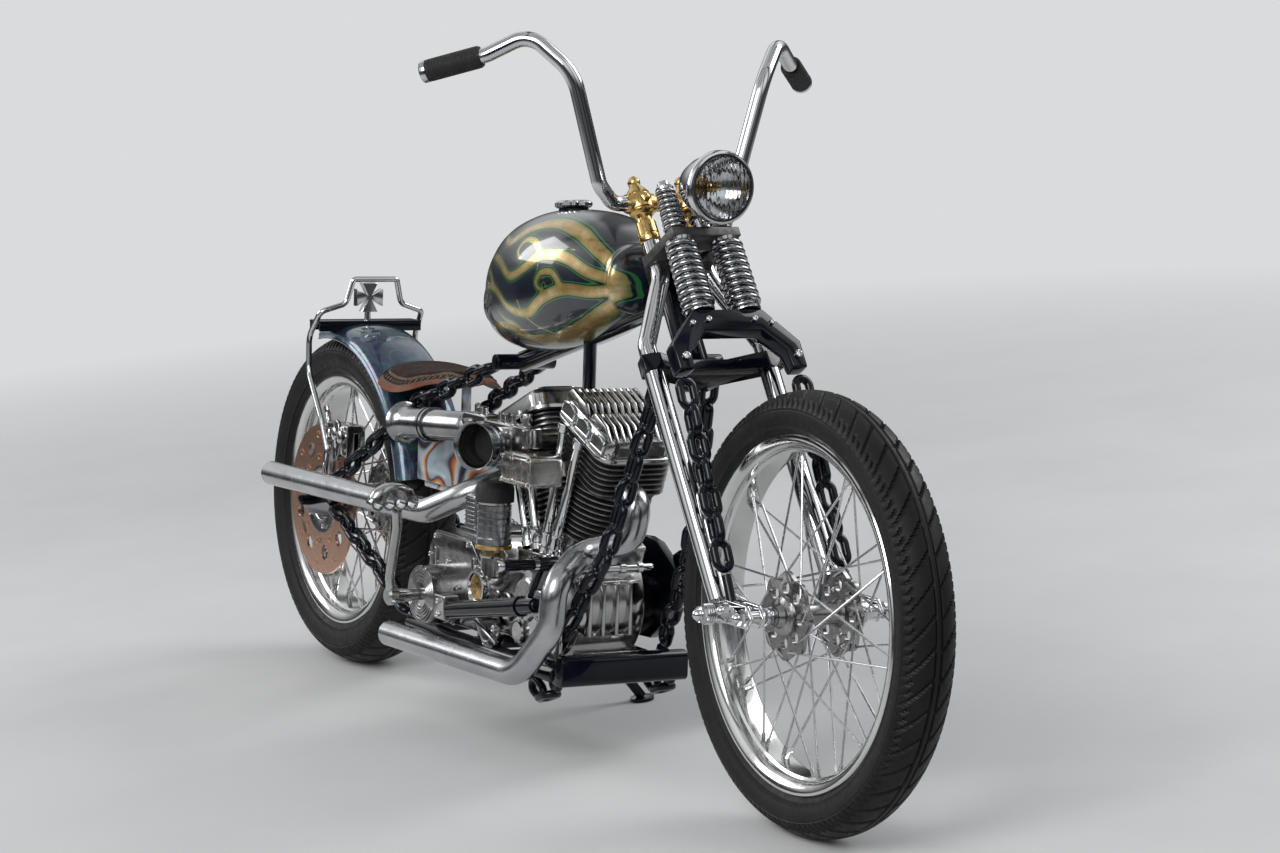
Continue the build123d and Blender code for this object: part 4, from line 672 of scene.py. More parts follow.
def spokes(name, axle, flange, flange_y, bed, body):
    """All the spokes of one wheel: elbow at the flange, straight run, nipple at the rim."""
    def spot(radius, angle, y):
        return Vector(axle) + Vector((radius * cos(angle), y, radius * sin(angle)))

    places, edges, girths = [], [], []
    for number in range(SPOKES):
        left = 1 if number % 2 == 0 else -1
        rank = number // 2
        outer = rank % 2 == 0
        at_hub = 2 * pi * (rank + 0.5 * (left > 0)) / (SPOKES // 2)
        at_rim = at_hub + (1 if outer else -1) * CROSSING
        hole = spot(flange, at_hub, left * (flange_y + 3.0))
        elbow = spot(flange, at_hub, left * (flange_y + (9.0 if outer else -2.5)))
        tip = spot(bed, at_rim, left * 7.0)
        run = (tip - elbow).normalized()
        edges += [(len(places) + i, len(places) + i + 1) for i in range(5)]
        places += [hole, elbow + (elbow - hole) * 0.15, elbow + run * 5.0, tip - run * 20.0, tip - run * 19.5, tip]
        girths += [1.0] * 4 + [1.9] * 2
    grow(name, spoke_tree, seeds(places, edges, girth=girths), steel, body)


def pierced_ring(centre, inner, outer, hole_radius, holes, thickness, lobe=0.0, sides=24):
    """A flat ring with round holes, as quads from each hole to the edge of its own share of the ring."""
    points, faces = [], []
    middle = (inner + outer) / 2
    for hole in range(holes):
        turn_to = 2 * pi * hole / holes
        start = len(points)
        for step in range(sides):
            angle = 2 * pi * step / sides
            c, s = cos(angle), sin(angle)
            reach = 1.0 / max(abs(c), abs(s))
            radial = middle + c * reach * (outer - inner) / 2
            around = turn_to + s * reach * pi / holes
            radial *= 1.0 + lobe * cos((around - turn_to) * holes) * max(0.0, (radial - middle) / (outer - middle))
            hole_at = (middle * cos(turn_to) + hole_radius * cos(angle + turn_to),
                       middle * sin(turn_to) + hole_radius * sin(angle + turn_to))
            edge = (radial * cos(around), radial * sin(around))
            for (a, b), depth in ((hole_at, -0.5), (edge, -0.5), (edge, 0.5), (hole_at, 0.5)):
                points.append(Vector(centre) + Vector((a, depth * thickness, b)))
            this, following = start + step * 4, start + (step + 1) % sides * 4
            faces += [(this + k, this + (k + 1) % 4, following + (k + 1) % 4, following + k) for k in range(4)]
    return points, faces


def hub(name, axle, barrel, flange, flange_y, end, half, hole_radius, cap, body):
    """A turned barrel with two pierced flanges and domed ends."""
    profile = mirrored([(-half, 11), (-half, end), (-half + 4, end + 1), (-half + 7, end - 1),
                        (-flange_y - 12, barrel + 2),
                        (-flange_y - 7, barrel + 1), (-flange_y, barrel + 2), (-flange_y + 8, barrel - 3),
                        (0, barrel - 5)])
    shapes = [lathe(profile, axle, steps=48)]
    for side in BOTH:
        face = Vector(axle) + Vector((0, side * (flange_y + 3.5), 0))
        shapes.append(pierced_ring(face, barrel - 1, flange + 5, hole_radius, 8, 7.0, 0.06))
        if cap:
            dome = [(side * (flange_y + out), radius) for out,
                    radius in ((7, 31), (12, 32), (15, 30), (18, 22), (19, 15))]
            shapes.append(lathe(dome, axle, steps=48))
    piece(name, shapes, hub_steel, body, [name.replace("_body", "")])


hub("front_hub_body", FRONT_WHEEL, 21, 61, 44, 17, 78, 9.8, True, "front_wheel")
hub("rear_hub_body", REAR_WHEEL, 32, 62, 40, 46, 72, 8.0, False, "rear_wheel")
spokes("front_spoke_set", FRONT_WHEEL, 57, 44, 255.5, "front_wheel")
spokes("rear_spoke_set", REAR_WHEEL, 58, 40, 220.5, "rear_wheel")

# %% [markdown]
# The frame's boldest idea is that its tubes are chain, welded link to link so that it stands like bar. One
# link is a rounded rectangle swept with a round section, and every second one is turned a quarter. The
# strands run along the same lines as the solids, in whole links.

# %% Welded chain links
LINK_PITCH, LINK_LENGTH, LINK_WIDTH, LINK_WIRE = 44.0, 57.0, 38.5, 14.4
link_tree = Pattern("links_on_points", Wire=LINK_WIRE, Length=LINK_LENGTH, Width=LINK_WIDTH)
wire = link_tree.given["Wire"]
inner_long, inner_wide = (link_tree.calc("SUBTRACT", link_tree.given[key], wire) for key in ("Length", "Width"))
flat_link = link_tree.add("GeometryNodeCurvePrimitiveQuadrilateral", {"mode": "RECTANGLE"}, Width=inner_long,
                          Height=inner_wide).outputs[0]
round_link = link_tree.add("GeometryNodeFilletCurve", {"mode": "POLY"}, Curve=flat_link, Count=7,
                           Radius=link_tree.calc("MULTIPLY", inner_wide, 0.495), Limit_Radius=True).outputs[0]
forged = link_tree.sweep(round_link, link_tree.ring(link_tree.calc("MULTIPLY", wire, 0.5), 12))
link_tree.close(link_tree.place(forged, link_tree.add("ShaderNodeCombineXYZ", {}, link_tree.stored("pull"), 1.0,
                                                      1.0).outputs[0]))


def strand(points):
    """Middles, turns and stretches of the links along straight runs."""
    links = []
    for start, end in zip(points, points[1:]):
        first, last = Vector(start), Vector(end)
        along = (last - first).normalized()
        run = (last - first).length
        count = max(2, round(run / LINK_PITCH))
        side = (Vector(LEFT) - along * along.y).normalized()
        for step in range(count):
            across = side if len(links) % 2 == 0 else along.cross(side)
            links.append((first + along * (run / count * (step + 0.5)), turned(along, along.cross(across)),
                          (run / count + 12.0) / 56.0))
    return links


def chain(name, route, body, node):
    """The same strand on the right and on the left."""
    links = [link for side in BOTH for link in strand([(x, side * y, z) for x, y, z in route])]
    places, turns, pulls = zip(*links)
    grow(name, link_tree, seeds(places, turn=turns, pull=pulls), black, body, [node])


low_neck = fork_point(-57.0, 0, 59.0)
chain("down_chain", [(low_neck.x - 11, 46, low_neck.z - 28), (1142, 80, 372), (1018, 106, 194)], "frame",
      "chain_down_tubes")
chain("seat_chain", [(644, 45, 640), (390, 80, 546), (117, 108, 374)], "frame", "chain_seat_rails")
chain("stay_chain", [(117, 108, 320), (474, 119, 176)], "frame", "chain_stays")
curls = [((x, side * y, z), turned(along, across)) for side in BOTH for (x, y, z), along, across in (
    ((1036, 110, 148), (-0.45, 0, -0.9), LEFT), ((1008, 112, 112), (-0.86, 0, -0.3), (0.3, 0, -0.86)),
    ((970, 112, 118), (-0.9, 0, 0.4), LEFT))]
grow("rail_links", link_tree, seeds([c[0] for c in curls], turn=[c[1] for c in curls], pull=[1.0] * len(curls)), black,
     "frame")
FOOT_X, FOOT_Y, FOOT_Z = 1600.0, 108.0, 350.0
link_foot = Vector((FOOT_X, 0, FOOT_Z)) - FORK_ROOT
link_ahead, link_up = link_foot.dot(FORK_AHEAD), link_foot.dot(FORK_UP)
slant = (link_ahead - 79.0) / (link_up + 47.2)
leg_end = fork_point(link_ahead + slant * 66.0, FOOT_Y, link_up + 66.0)
chain("fork_leg_chain", [fork_point(79.0, FOOT_Y, -47.2), leg_end], "fork", "chain_fork_legs")
eyes, bars = [], []
for side in BOTH:
    foot, knee = Vector((FOOT_X, side * FOOT_Y, FOOT_Z)), Vector((leg_end.x, side * FOOT_Y, leg_end.z))
    down = (foot - knee).normalized() * 10
    bars.append(bent_rod([knee + down, foot - down], 8.0))
    eyes.append(lathe([(-7.5, 7), (-7.5, 13), (-6, 14.5), (6, 14.5), (7.5, 13), (7.5, 7)], foot, steps=32))
piece("fork_leg_ends", eyes, chrome, "fork")
piece("fork_leg_bars", bars, black, "fork")

# %% [markdown]
# Four springs on two rods: a thick main spring under the tie, a thinner rebound spring over it. A spiral
# curve swept with a round wire is a spring already; the tree only needs its length, turns and radius.

# %% Coiled springs
SPRING_AHEAD, SPRING_LEFT = 79.0, 43.0
spring_tree = Pattern("spring_on_points", Coil=22.0, Top=20.0, Wire=3.6, Length=130.0, Turns=9.0)
size = spring_tree.given
spiral = spring_tree.add("GeometryNodeCurveSpiral", {}, Resolution=20, Rotations=size["Turns"],
                         Start_Radius=size["Coil"], End_Radius=size["Top"], Height=size["Length"]).outputs[0]
spring_tree.close(spring_tree.place(spring_tree.sweep(spiral, spring_tree.ring(size["Wire"], 10))))


def springs(name, low, high, coil, top, wire, turns, replaces=()):
    """The left and the right spring of one pair."""
    feet = [fork_point(SPRING_AHEAD, side * SPRING_LEFT, low) for side in BOTH]
    turn = turned(FORK_AHEAD, FORK_UP)
    grow(name, spring_tree, seeds(feet, turn=[turn, turn]), spring_steel, "fork", replaces, Coil=coil, Top=top,
         Wire=wire, Length=high - low, Turns=turns)


springs("main_springs", 80.0, 202.0, 23.6, 21.4, 5.2, 9.5, ["fork_springs"])
springs("rebound_springs", 230.0, 302.0, 17.0, 12.6, 4.0, 7.5)
rod = [(74.3, 0), (74.3, 24), (78, 25), (80, 22), (80, 9), (203, 8), (203, 21), (207.7, 23), (207.7, 8), (227.3, 8),
       (227.3, 18), (230, 17), (230, 8), (301, 8), (301, 15), (305, 16), (309, 13), (309, 10), (316, 10), (319, 7),
       (322, 0)]
piece("spring_rods", [lathe(rod, fork_point(SPRING_AHEAD, side * SPRING_LEFT, 0), FORK_UP, steps=32) for side in BOTH],
      chrome, "fork", crease=40)

# %% [markdown]
# Bent tube gives the motorcycle its lines: pipes, bar, fork legs and the hoop behind the seat. A bender
# only knows corners and their radius, so the helper takes the same, puts an arc in each corner, and sweeps
# a round section along it. An open pipe also gets a dark iron bore, closed a little way in by a dark disc that is
# painted shade.

# %% Pipes, bar and hoop
def bend(corners, radii):
    """Corner points with a true arc in each inner corner."""
    corners = [Vector(p) for p in corners]
    line = [corners[0]]
    for before, corner, after, radius in zip(corners, corners[1:], corners[2:], radii):
        back, on = (before - corner).normalized(), (after - corner).normalized()
        half = back.angle(on) / 2
        slope = sin(half) / cos(half)
        reach = min(radius / max(slope, 1e-6), (before - corner).length * 0.49, (after - corner).length * 0.49)
        middle = corner + (back + on).normalized() * (reach * slope / sin(half))
        first, last = corner + back * reach - middle, corner + on * reach - middle
        turn_by = first.angle(last)
        line += [middle + (first * sin((1 - share) * turn_by) + last * sin(share * turn_by)) / sin(turn_by)
                 for share in np.linspace(0, 1, 13)]
    return line + [corners[-1]]


def both_sides(half, radii):
    """A bent line that runs from the left end of the motorcycle's half over to its mirror image."""
    return bend([(x, y, z) for x, y, z in half[::-1]] + [(x, -y, z) for x, y, z in half], radii)


crank = Vector((916.0, 0.0, 263.0))
VEE, PIPE, WALL = radians(22.5), 23.0, 2.2


def engine_point(lean_angle, up, across=0.0, left=0.0):
    """A point given up a cylinder's axis and across it."""
    c, s = cos(lean_angle), sin(lean_angle)
    return crank + Vector((up * s + across * c, left, up * c - across * s))


front_port, rear_port = engine_point(VEE, 256.0, 75.3), engine_point(-VEE, 262.0, -75.3)
front_pipe = bend([(front_port.x, -15, front_port.z), (1129.5, -15, 451.6), (1118, -22, 388), (1052, -76, 364),
                   (1092, -150, 318), (1084, -152, 238), (1010, -171, 153), (520, -180, 146)], [38, 42, 40, 45, 60, 80])
rear_pipe = bend([(rear_port.x, -25, rear_port.z), (rear_port.x - 34, -25, rear_port.z - 14.1), (700, -120, 420),
                  (618, -160, 380), (-50, -170, 370)], [26, 60, 70])
bore_shades = []
for name, line, node in (("front_pipe", front_pipe, "front_exhaust"), ("rear_pipe", rear_pipe, "rear_exhaust")):
    points, faces = bent_rod(line, PIPE, 40)
    out = (line[-1] - line[-2]).normalized()
    edge = lathe([(0, PIPE), (0.6, PIPE - 0.8), (0, PIPE - WALL), (-2, PIPE - WALL)], line[-1], out, 40)
    piece(name, [(points, faces[:-1]), edge], satin, "frame", [node], crease=50)
    # Painted shade: the bore's wall is dark iron, and a dark iron disc closes it 70 mm in, where the pipe runs on.
    bore_shades.append(lathe([(-70, 0), (-70, PIPE - WALL), (-1, PIPE - WALL)], line[-1], out, 40))
piece("pipe_bore_shade", bore_shades, iron, "frame")
clamp = fork_point(0, 0, 326.0)
half_bar = [(clamp.x, -95, clamp.z), (1166, -128, 985), (1162, -180, 1165), (1112, -236, 1226), (1066, -290, 1190),
            (989, -362, 1160)]
bar_line = both_sides(half_bar, [60, 45, 85, 30, 30, 30, 30, 85, 45, 60])
piece("bent_handlebar", [bent_rod(bar_line, 12.7, 32)], chrome, "fork", ["handlebar"], crease=60)
half_hoop = [(39, -46, 431), (34, -58, 384), (26, -108, 368), (-14, -113, 318), (-8, -115, 248), (60, -118, 168),
             (92, -118, 108), (80, -118, 36)]
hoop_bends = [20, 40, 50, 40, 16, 18, 6]
hoop = both_sides([(x, y, REAR_RADIUS + up) for x, y, up in half_hoop], hoop_bends + hoop_bends[::-1])
piece("bent_hoop", [bent_rod(hoop, 5.5, 20)], chrome, "frame", ["sissy_bar"])
cross_z = REAR_RADIUS + 344.3
lips = [skin([[(x + a, b, z) for a, b in outline] for z in (low, high)]) for x, outline, low, high in (
    (0, rounded_box(25, 109, 3), cross_z, cross_z + 5), (-21.5, rounded_box(3, 108, 1.4), cross_z - 15, cross_z + 3),
    (21.5, rounded_box(3, 108, 1.4), cross_z - 15, cross_z + 3))]
piece("hoop_plate", lips, black, "frame", bevel=0.8)

# %% [markdown]
# Rubber grips are moulded with fine rings and close with a polished cap.

# %% Grips
rings = [(-100, 13), (-100, 17), (-96, 18.6)]
for number in range(22):
    start = -94 + number * 3.9
    rings += [(start, 18), (start + 0.7, 18.6), (start + 2.6, 18.6), (start + 3.3, 18)]
sleeve, cap = rings + [(-5, 18.4), (-4, 13)], [(-5, 13), (-5, 18.3), (-1, 18.9), (3.5, 18.6), (5.6, 16.5), (6, 0)]
for name, profile, finish, nodes in (("grip_sleeves", sleeve, grip_rubber, ["grips"]), ("grip_caps", cap, chrome, ())):
    piece(name, [lathe(profile, (989, side * 362, 1160), (-77, side * 72, -30), 40) for side in BOTH], finish, "fork",
          nodes)

# %% [markdown]
# The tank is one smooth hollow teardrop of steel under deep clear paint. Its body is drawn as a few
# upright sections, and a smooth curve through them gives every station between.

# %% Tank shape
TANK = np.array([(600, 712, 786, 4), (606, 710, 788, 30), (640, 692, 838, 62), (706, 678, 888, 94),
                 (800, 680, 922, 114),
                 (900, 698, 932, 114), (1000, 732, 922, 96), (1076, 764, 890, 66), (1122, 792, 848, 30),
                 (1127, 806, 832, 4)],
                dtype=float)


def smooth_between(table, stations):
    """Read a table at any station, smoothly."""
    keys = table[:, 0]
    slopes = np.gradient(table, keys, axis=0)
    out = []
    for x in stations:
        i = int(np.clip(np.searchsorted(keys, x) - 1, 0, len(keys) - 2))
        h = keys[i + 1] - keys[i]
        t = (x - keys[i]) / h
        out.append((2 * t**3 - 3 * t**2 + 1) * table[i] + (t**3 - 2 * t**2 + t) * h * slopes[i]
                   + (3 * t**2 - 2 * t**3) * table[i + 1] + (t**3 - t**2) * h * slopes[i + 1])
    return np.array(out)


def fat(value, power):
    """A sine or cosine raised to a power, with its sign, to square off a round section."""
    return abs(value) ** power * (1 if value > 0 else -1)


def round_angles(count):
    """Cosine and sine of equal steps round a circle."""
    return [(cos(2 * pi * step / count), sin(2 * pi * step / count)) for step in range(count)]


stations = np.concatenate([np.linspace(600, 606, 4)[:-1], np.linspace(606, 1122, 176), np.linspace(1122, 1127, 4)[1:]])
tank_rings = [[(x, half * fat(c, 2 / 2.35), (low + high) / 2 + (high - low) / 2 * fat(s, 2 / 2.35))
               for c, s in round_angles(152)]
              for x, low, high, half in smooth_between(TANK, stations)]
tank_skin = piece("painted_tank", [skin(tank_rings)], gold, "frame", ["fuel_tank"], crease=70)

# %% [markdown]
# The flames are traditional licks: strokes that start at the nose and taper out behind. A stroke is a
# smooth curve with a width at each of its points. Joining strokes with a rounded minimum gives the teardrop
# eyes between two licks that every flame job has. For each point of the skin the script works out how far
# it lies from the nearest stroke and stores that with the point. The paint then only asks for that
# distance, so its edges stay sharp at any zoom.

# %% Flame distances on the tank
LICKS = (
    ((1112, 802, 8), (1062, 772, 9), (1004, 744, 9), (934, 718, 9), (854, 706, 8), (778, 724, 7), (706, 716, 5),
     (640, 722, 0.4)),
    ((1112, 812, 8), (1054, 802, 10), (990, 802, 10), (932, 782, 9), (882, 754, 8), (822, 758, 8), (760, 788, 7),
     (690, 782, 5), (616, 754, 0.4)),
    ((1112, 822, 8), (1050, 834, 10), (992, 856, 10), (930, 856, 9), (880, 830, 8), (830, 814, 8), (772, 838, 7),
     (700, 838, 5), (632, 804, 0.4)),
    ((1110, 832, 8), (1062, 868, 9), (1000, 898, 9), (930, 910, 8), (860, 898, 8), (800, 870, 7), (742, 882, 5),
     (700, 868, 0.4)),
    ((930, 856, 7), (900, 876, 6), (866, 878, 5), (850, 860, 4), (864, 846, 3), (878, 856, 0.4)),
    ((990, 802, 7), (966, 828, 6), (934, 826, 5), (920, 808, 4), (934, 798, 3), (944, 808, 0.4)),
    ((760, 788, 6), (726, 812, 6), (690, 812, 5), (676, 796, 4), (690, 784, 3), (702, 794, 0.4)),
    ((854, 706, 6), (824, 728, 6), (790, 736, 4), (766, 756, 0.4)),
)
PINSTRIPES = (
    ((700, 690), (660, 730), (640, 776), (652, 812)), ((722, 684), (684, 724), (664, 772), (676, 816), (690, 822)),
    ((610, 712), (660, 742), (716, 746), (748, 738)), ((604, 738), (650, 764), (704, 772), (736, 764)),
    ((598, 764), (640, 786), (690, 796), (716, 790)), ((760, 872), (740, 900), (700, 890), (676, 862)),
    ((940, 716), (900, 728), (868, 750), (856, 776)), ((1010, 870), (960, 866), (930, 850), (922, 830)),
)


def curve_through(points, count=40):
    """Points of a smooth curve through the given ones."""
    data = np.array(points, dtype=float)
    padded = np.vstack([2 * data[0] - data[1], data, 2 * data[-1] - data[-2]])
    out = []
    for spot in np.linspace(0, len(data) - 1, count):
        i = min(int(spot), len(data) - 2)
        t = spot - i
        a, b, c, d = padded[i:i + 4]
        out.append(0.5 * (2 * b + (c - a) * t + (2 * a - 5 * b + 4 * c - d) * t * t + (3 * b - a - 3 * c + d) * t**3))
    return np.array(out)


def stroke_distance(spots, line, widths):
    """Distance of every spot from a tapered stroke; negative inside."""
    nearest = np.full(len(spots), 1e9)
    for a, b, wa, wb in zip(line, line[1:], widths, widths[1:]):
        run = b - a
        share = np.clip(((spots - a) @ run) / max(run @ run, 1e-9), 0, 1)
        gap = np.linalg.norm(spots - (a + share[:, None] * run), axis=1) - (wa + (wb - wa) * share)
        nearest = np.minimum(nearest, gap)
    return nearest


def upright_points(made):
    """The points of a finished piece, back in the upright drawing space."""
    return np.array([UPRIGHT @ v.co for v in made.data.vertices])


def bring_along(made, label, millimetres):
    """Store a length with each point of a piece, in metres."""
    layer = made.data.attributes.new(label, "FLOAT", "POINT")
    layer.data.foreach_set("value", (millimetres / 1000).astype(np.float32))


FAR, EYE_ROUND = 60.0, 5.0
side_view = upright_points(tank_skin)[:, [0, 2]]
flame_gap, stripe_gap = np.full(len(side_view), FAR), np.full(len(side_view), FAR)
for lick in LICKS:
    line = curve_through(lick)
    one = stroke_distance(side_view, line[:, :2], np.maximum(line[:, 2], 0.3))
    share = np.clip(0.5 + 0.5 * (one - flame_gap) / EYE_ROUND, 0, 1)
    flame_gap = one * (1 - share) + flame_gap * share - EYE_ROUND * share * (1 - share)
for pinstripe in PINSTRIPES:
    line = curve_through(pinstripe)
    stripe_gap = np.minimum(stripe_gap, stroke_distance(side_view, line, np.full(len(line), 0.9)))
bring_along(tank_skin, "lick_gap", flame_gap)
bring_along(tank_skin, "pin_gap", stripe_gap)
print("share of the tank under gold", round(float((flame_gap < 0).mean()), 2))

# %% [markdown]
# The filler cap is a thick chrome disc with a scalloped edge on a black neck, square to the tank's slope.

# %% Filler cap
CAP_UP, CAP_AT = Vector((-0.1, 0, 1)).normalized(), Vector((842.0, 0.0, 926.5))
SCALLOPS, DEPTH = 10, 0.055
cap_profile = [(4, 0), (4, 22), (6, 31), (9, 34), (14, 34), (17, 31), (18.3, 26), (19.0, 0)]
cap_points, cap_faces = lathe(cap_profile, CAP_AT, CAP_UP, 144)
for spot, place in enumerate(cap_points):
    step, number = divmod(spot, len(cap_profile))
    up, radius = cap_profile[number]
    if radius > 28:
        middle = CAP_AT + CAP_UP * up
        cap_points[spot] = middle + (place - middle) * (1.0 + DEPTH * cos(SCALLOPS * 2 * pi * step / 144)) / (1 + DEPTH)
piece("scalloped_cap", [(cap_points, cap_faces)], chrome, "frame", ["fuel_cap"])
piece("cap_neck", [lathe([(-8, 24), (-2, 26), (4.5, 26), (4.5, 0)], CAP_AT, CAP_UP, 48)], black, "frame")

# %% [markdown]
# The lamp is a spun bowl with a thin bezel. Behind its fluted glass sits a bright reflector and a small bulb.

# %% Headlight
glass = mottled("fluted_glass", (20,), (0.4, (0.93, 0.95, 0.96)), (0.6, (0.98, 0.98, 0.98)),
                (80, 4, 0.01, 0.05, 0.3, 0.7), Transmission_Weight=1.0, IOR=1.45)
glass.bump(glass.add("ShaderNodeTexWave", {"wave_type": "BANDS", "bands_direction": "Y"}, Vector=glass.upright,
                     Scale=38.0).outputs["Fac"], 0.5, 0.002)
lamp_at = Vector((1341.0, 0.0, 990.0))
bowl = [(-92, 0), (-91, 10), (-86, 26), (-72, 39), (-50, 48), (-30, 52.5), (-14, 54.5), (-13, 59), (-10, 60), (-1, 60),
        (3, 58), (4, 55), (2, 53.5), (-6, 53.0)]
piece("lamp_bowl", [
    lathe(bowl, lamp_at, AHEAD, 96), bent_rod([fork_point(88, 0, 228), (lamp_at.x - 45, 0, lamp_at.z - 46)], 9, 24),
    lathe([(-8, 15), (8, 15), (10, 12), (10, 0)], fork_point(88, 0, 231), FORK_UP, 32),
    lathe([(-16, 0), (-16, 9), (16, 9), (16, 0)], fork_point(88, 0, 243), LEFT, 6)], chrome, "fork", ["headlight"])
for name, profile, steps, finish, closed in (
    ("lamp_gasket", [(2, 51.4), (4.9, 51.8), (5.1, 54.4), (2.6, 55.2)], 96, grip_rubber, True),
    ("lamp_reflector", [(-46, 0), (-44, 14), (-34, 31), (-20, 44), (-8, 51.5), (-3, 53)], 72, chrome, False),
    ("lamp_bulb", [(-44, 0), (-44, 9), (-32, 9), (-30, 6), (-14, 6), (-11, 4), (-10, 0)], 24, brass, False),
    ("lamp_glass", [(-4, 53.2), (2, 52), (6, 42), (8.6, 25), (9.4, 0), (7.4, 0), (6.6, 25), (4, 41), (-2, 51),
                    (-4, 53.2)],
     96, glass, False),
):
    piece(name, [lathe(profile, lamp_at, AHEAD, steps, closed)], finish, "fork")

# %% [markdown]
# The risers are turned brass posts with many small steps, a ball on top, and a clamp bolt at the bar.

# %% Brass risers
riser_profile = [(251.2, 0), (251.2, 16.5), (253, 17.5), (262, 17.5), (263, 16.2), (264.5, 16.2), (265.5, 17.5),
                 (287, 17),
                 (290, 13.6), (296, 12.6), (302, 15.2), (305, 19.5), (308, 21.2), (311, 19.8), (313, 21.8), (322, 23),
                 (331, 22.6), (338, 21.2), (340, 19.4), (342, 20.4), (345, 18.4), (350, 15.6), (356, 11.2), (361, 9),
                 (364, 10.6), (368, 10.6), (372, 8.2), (376, 5.4), (378, 0)]
riser_shapes = []
for side in BOTH:
    foot, bar_at = fork_point(0, side * 44.5, 0), fork_point(0, side * 44.5, 326)
    riser_shapes += [lathe(riser_profile, foot, FORK_UP, 48),
                     lathe([(-27, 0), (-27, 15), (-23, 17), (23, 17), (27, 15), (27, 0)], bar_at, LEFT, 40),
                     lathe([(16, 0), (16, 9), (25, 9), (28, 6), (30, 0)], bar_at, FORK_AHEAD, 6)]
piece("brass_risers", riser_shapes, brass, "fork", ["handlebar_risers"], crease=30)

# %% [markdown]
# The engine is what the eye lands on. Cylinders first: thin round fins with bright turned edges, cut back
# where the two lean together. The heads carry squarer fins. A tree stacks the fins on points.

# %% Cylinders and heads
fin_tree = Pattern("fins_on_points", Round=75.0, Thickness=2.6)
fin_tree.close(fin_tree.place(fin_tree.drum(fin_tree.given["Round"], fin_tree.given["Thickness"], 96)))


def keep_apart(made, lean_angle):
    """Cut a cylinder's pieces back to its own half of the vee."""
    limit = crank.x + (1.5 if lean_angle > 0 else -1.5)
    for vertex in made.data.vertices:
        place = UPRIGHT @ vertex.co
        if (place.x - limit) * lean_angle < 0:
            place.x = limit
            vertex.co = PARKED @ place


def stacked(angle, outline, levels):
    """An outline skinned along a cylinder's axis; levels hold (up, size)."""
    return skin([[engine_point(angle, up, a * size, b * size) for a, b in outline] for up, size in levels])


for label, angle in (("front", VEE), ("rear", -VEE)):
    up = Vector((sin(angle), 0, cos(angle)))
    fin_seeds = seeds([engine_point(angle, 138 + 10.4 * i) for i in range(10)],
                      turn=[turned((cos(angle), 0, -sin(angle)), up)] * 10)
    fins = grow(f"{label}_cylinder_fins", fin_tree, fin_seeds, bright_fin, "frame", [f"{label}_cylinder"],
                Thickness=2.8)
    core = [lathe([(131, 0), (131, 54), (236, 54), (236, 0)], crank, up, 64),
            stacked(angle, rounded_box(66, 62, 26), ((232, 1), (316, 1)))]
    head = [stacked(angle, rounded_box(75, 72, 30), ((s, 0.98), (s + 0.5, 1), (s + 3, 1), (s + 3.5, 0.98)))
            for s in (242, 252, 262, 272, 282, 292, 302, 311)]
    nuts = [bent_rod([engine_point(angle, 131, a, b), engine_point(angle, 150, a, b)], 5, 6)
            for a in (-52, 52) for b in (-52, 52)]
    for made in (fins, piece(f"{label}_cylinder_core", core, iron, "frame"),
                 piece(f"{label}_head_fins", head, bright_fin, "frame"),
                 piece(f"{label}_base_nuts", nuts, steel, "frame")):
        keep_apart(made, angle)

# %% [markdown]
# Both rocker boxes are polished covers. The front one is the showpiece: two rows of ridges run from front
# to back with a valley between them, and its right face has three arched panels. The panels stay plain,
# but their recesses, and one on the box's front end, are dark iron: painted shade in the hollows.

# %% Rocker boxes
MIDDLE_Y = -11.0
FACE_Y = MIDDLE_Y - 68.3
FLANGE = ((316.2, 95, 75, 30), (318, 95, 75, 30), (322, 95, 75, 30), (324, 92, 72, 28))


def box(angle, levels):
    """Rounded rectangles square to a cylinder: levels hold (up, half across, half left, corner)."""
    return skin([[engine_point(angle, up, a, MIDDLE_Y + b) for a, b in rounded_box(*sizes)] for up, *sizes in levels])


def arched(middle, half, low, spring, rise):
    """The outline of an arched panel, as (across, up)."""
    top = [(middle - half * cos(a), spring + rise * sin(a)) for a in np.linspace(0, pi, 13)]
    return [(middle - half, low)] + top + [(middle + half, low)]


front_box = [box(VEE, FLANGE), box(VEE, ((323.8, 88, 68, 24), (344, 86, 66.5, 24), (352, 82, 63, 22)))]
front_box += [skin([[engine_point(VEE, s, a, MIDDLE_Y - 59.4 + 13.2 * number + side * 3.1) for a, s in outline]
                    for side in BOTH])
              for number in range(10) for outline in (
                  ((6, 350), (10, 366), (20, 372), (58, 369), (82, 352), (82, 346), (6, 346)),
                  ((-82, 346), (-82, 362), (-70, 372), (-20, 370), (-6, 358), (-4, 346)))]
piece("front_rocker_cover", front_box, polished, "frame", ["front_rocker_box"], bevel=0.7)
piece("arched_frames", [bent_rod([engine_point(VEE, s, a, FACE_Y) for a, s in arched(middle, 21, 327, 341, 9)], 2.6, 10,
                                 True)
                        for middle in (-56, 0, 56)], chrome, "frame")
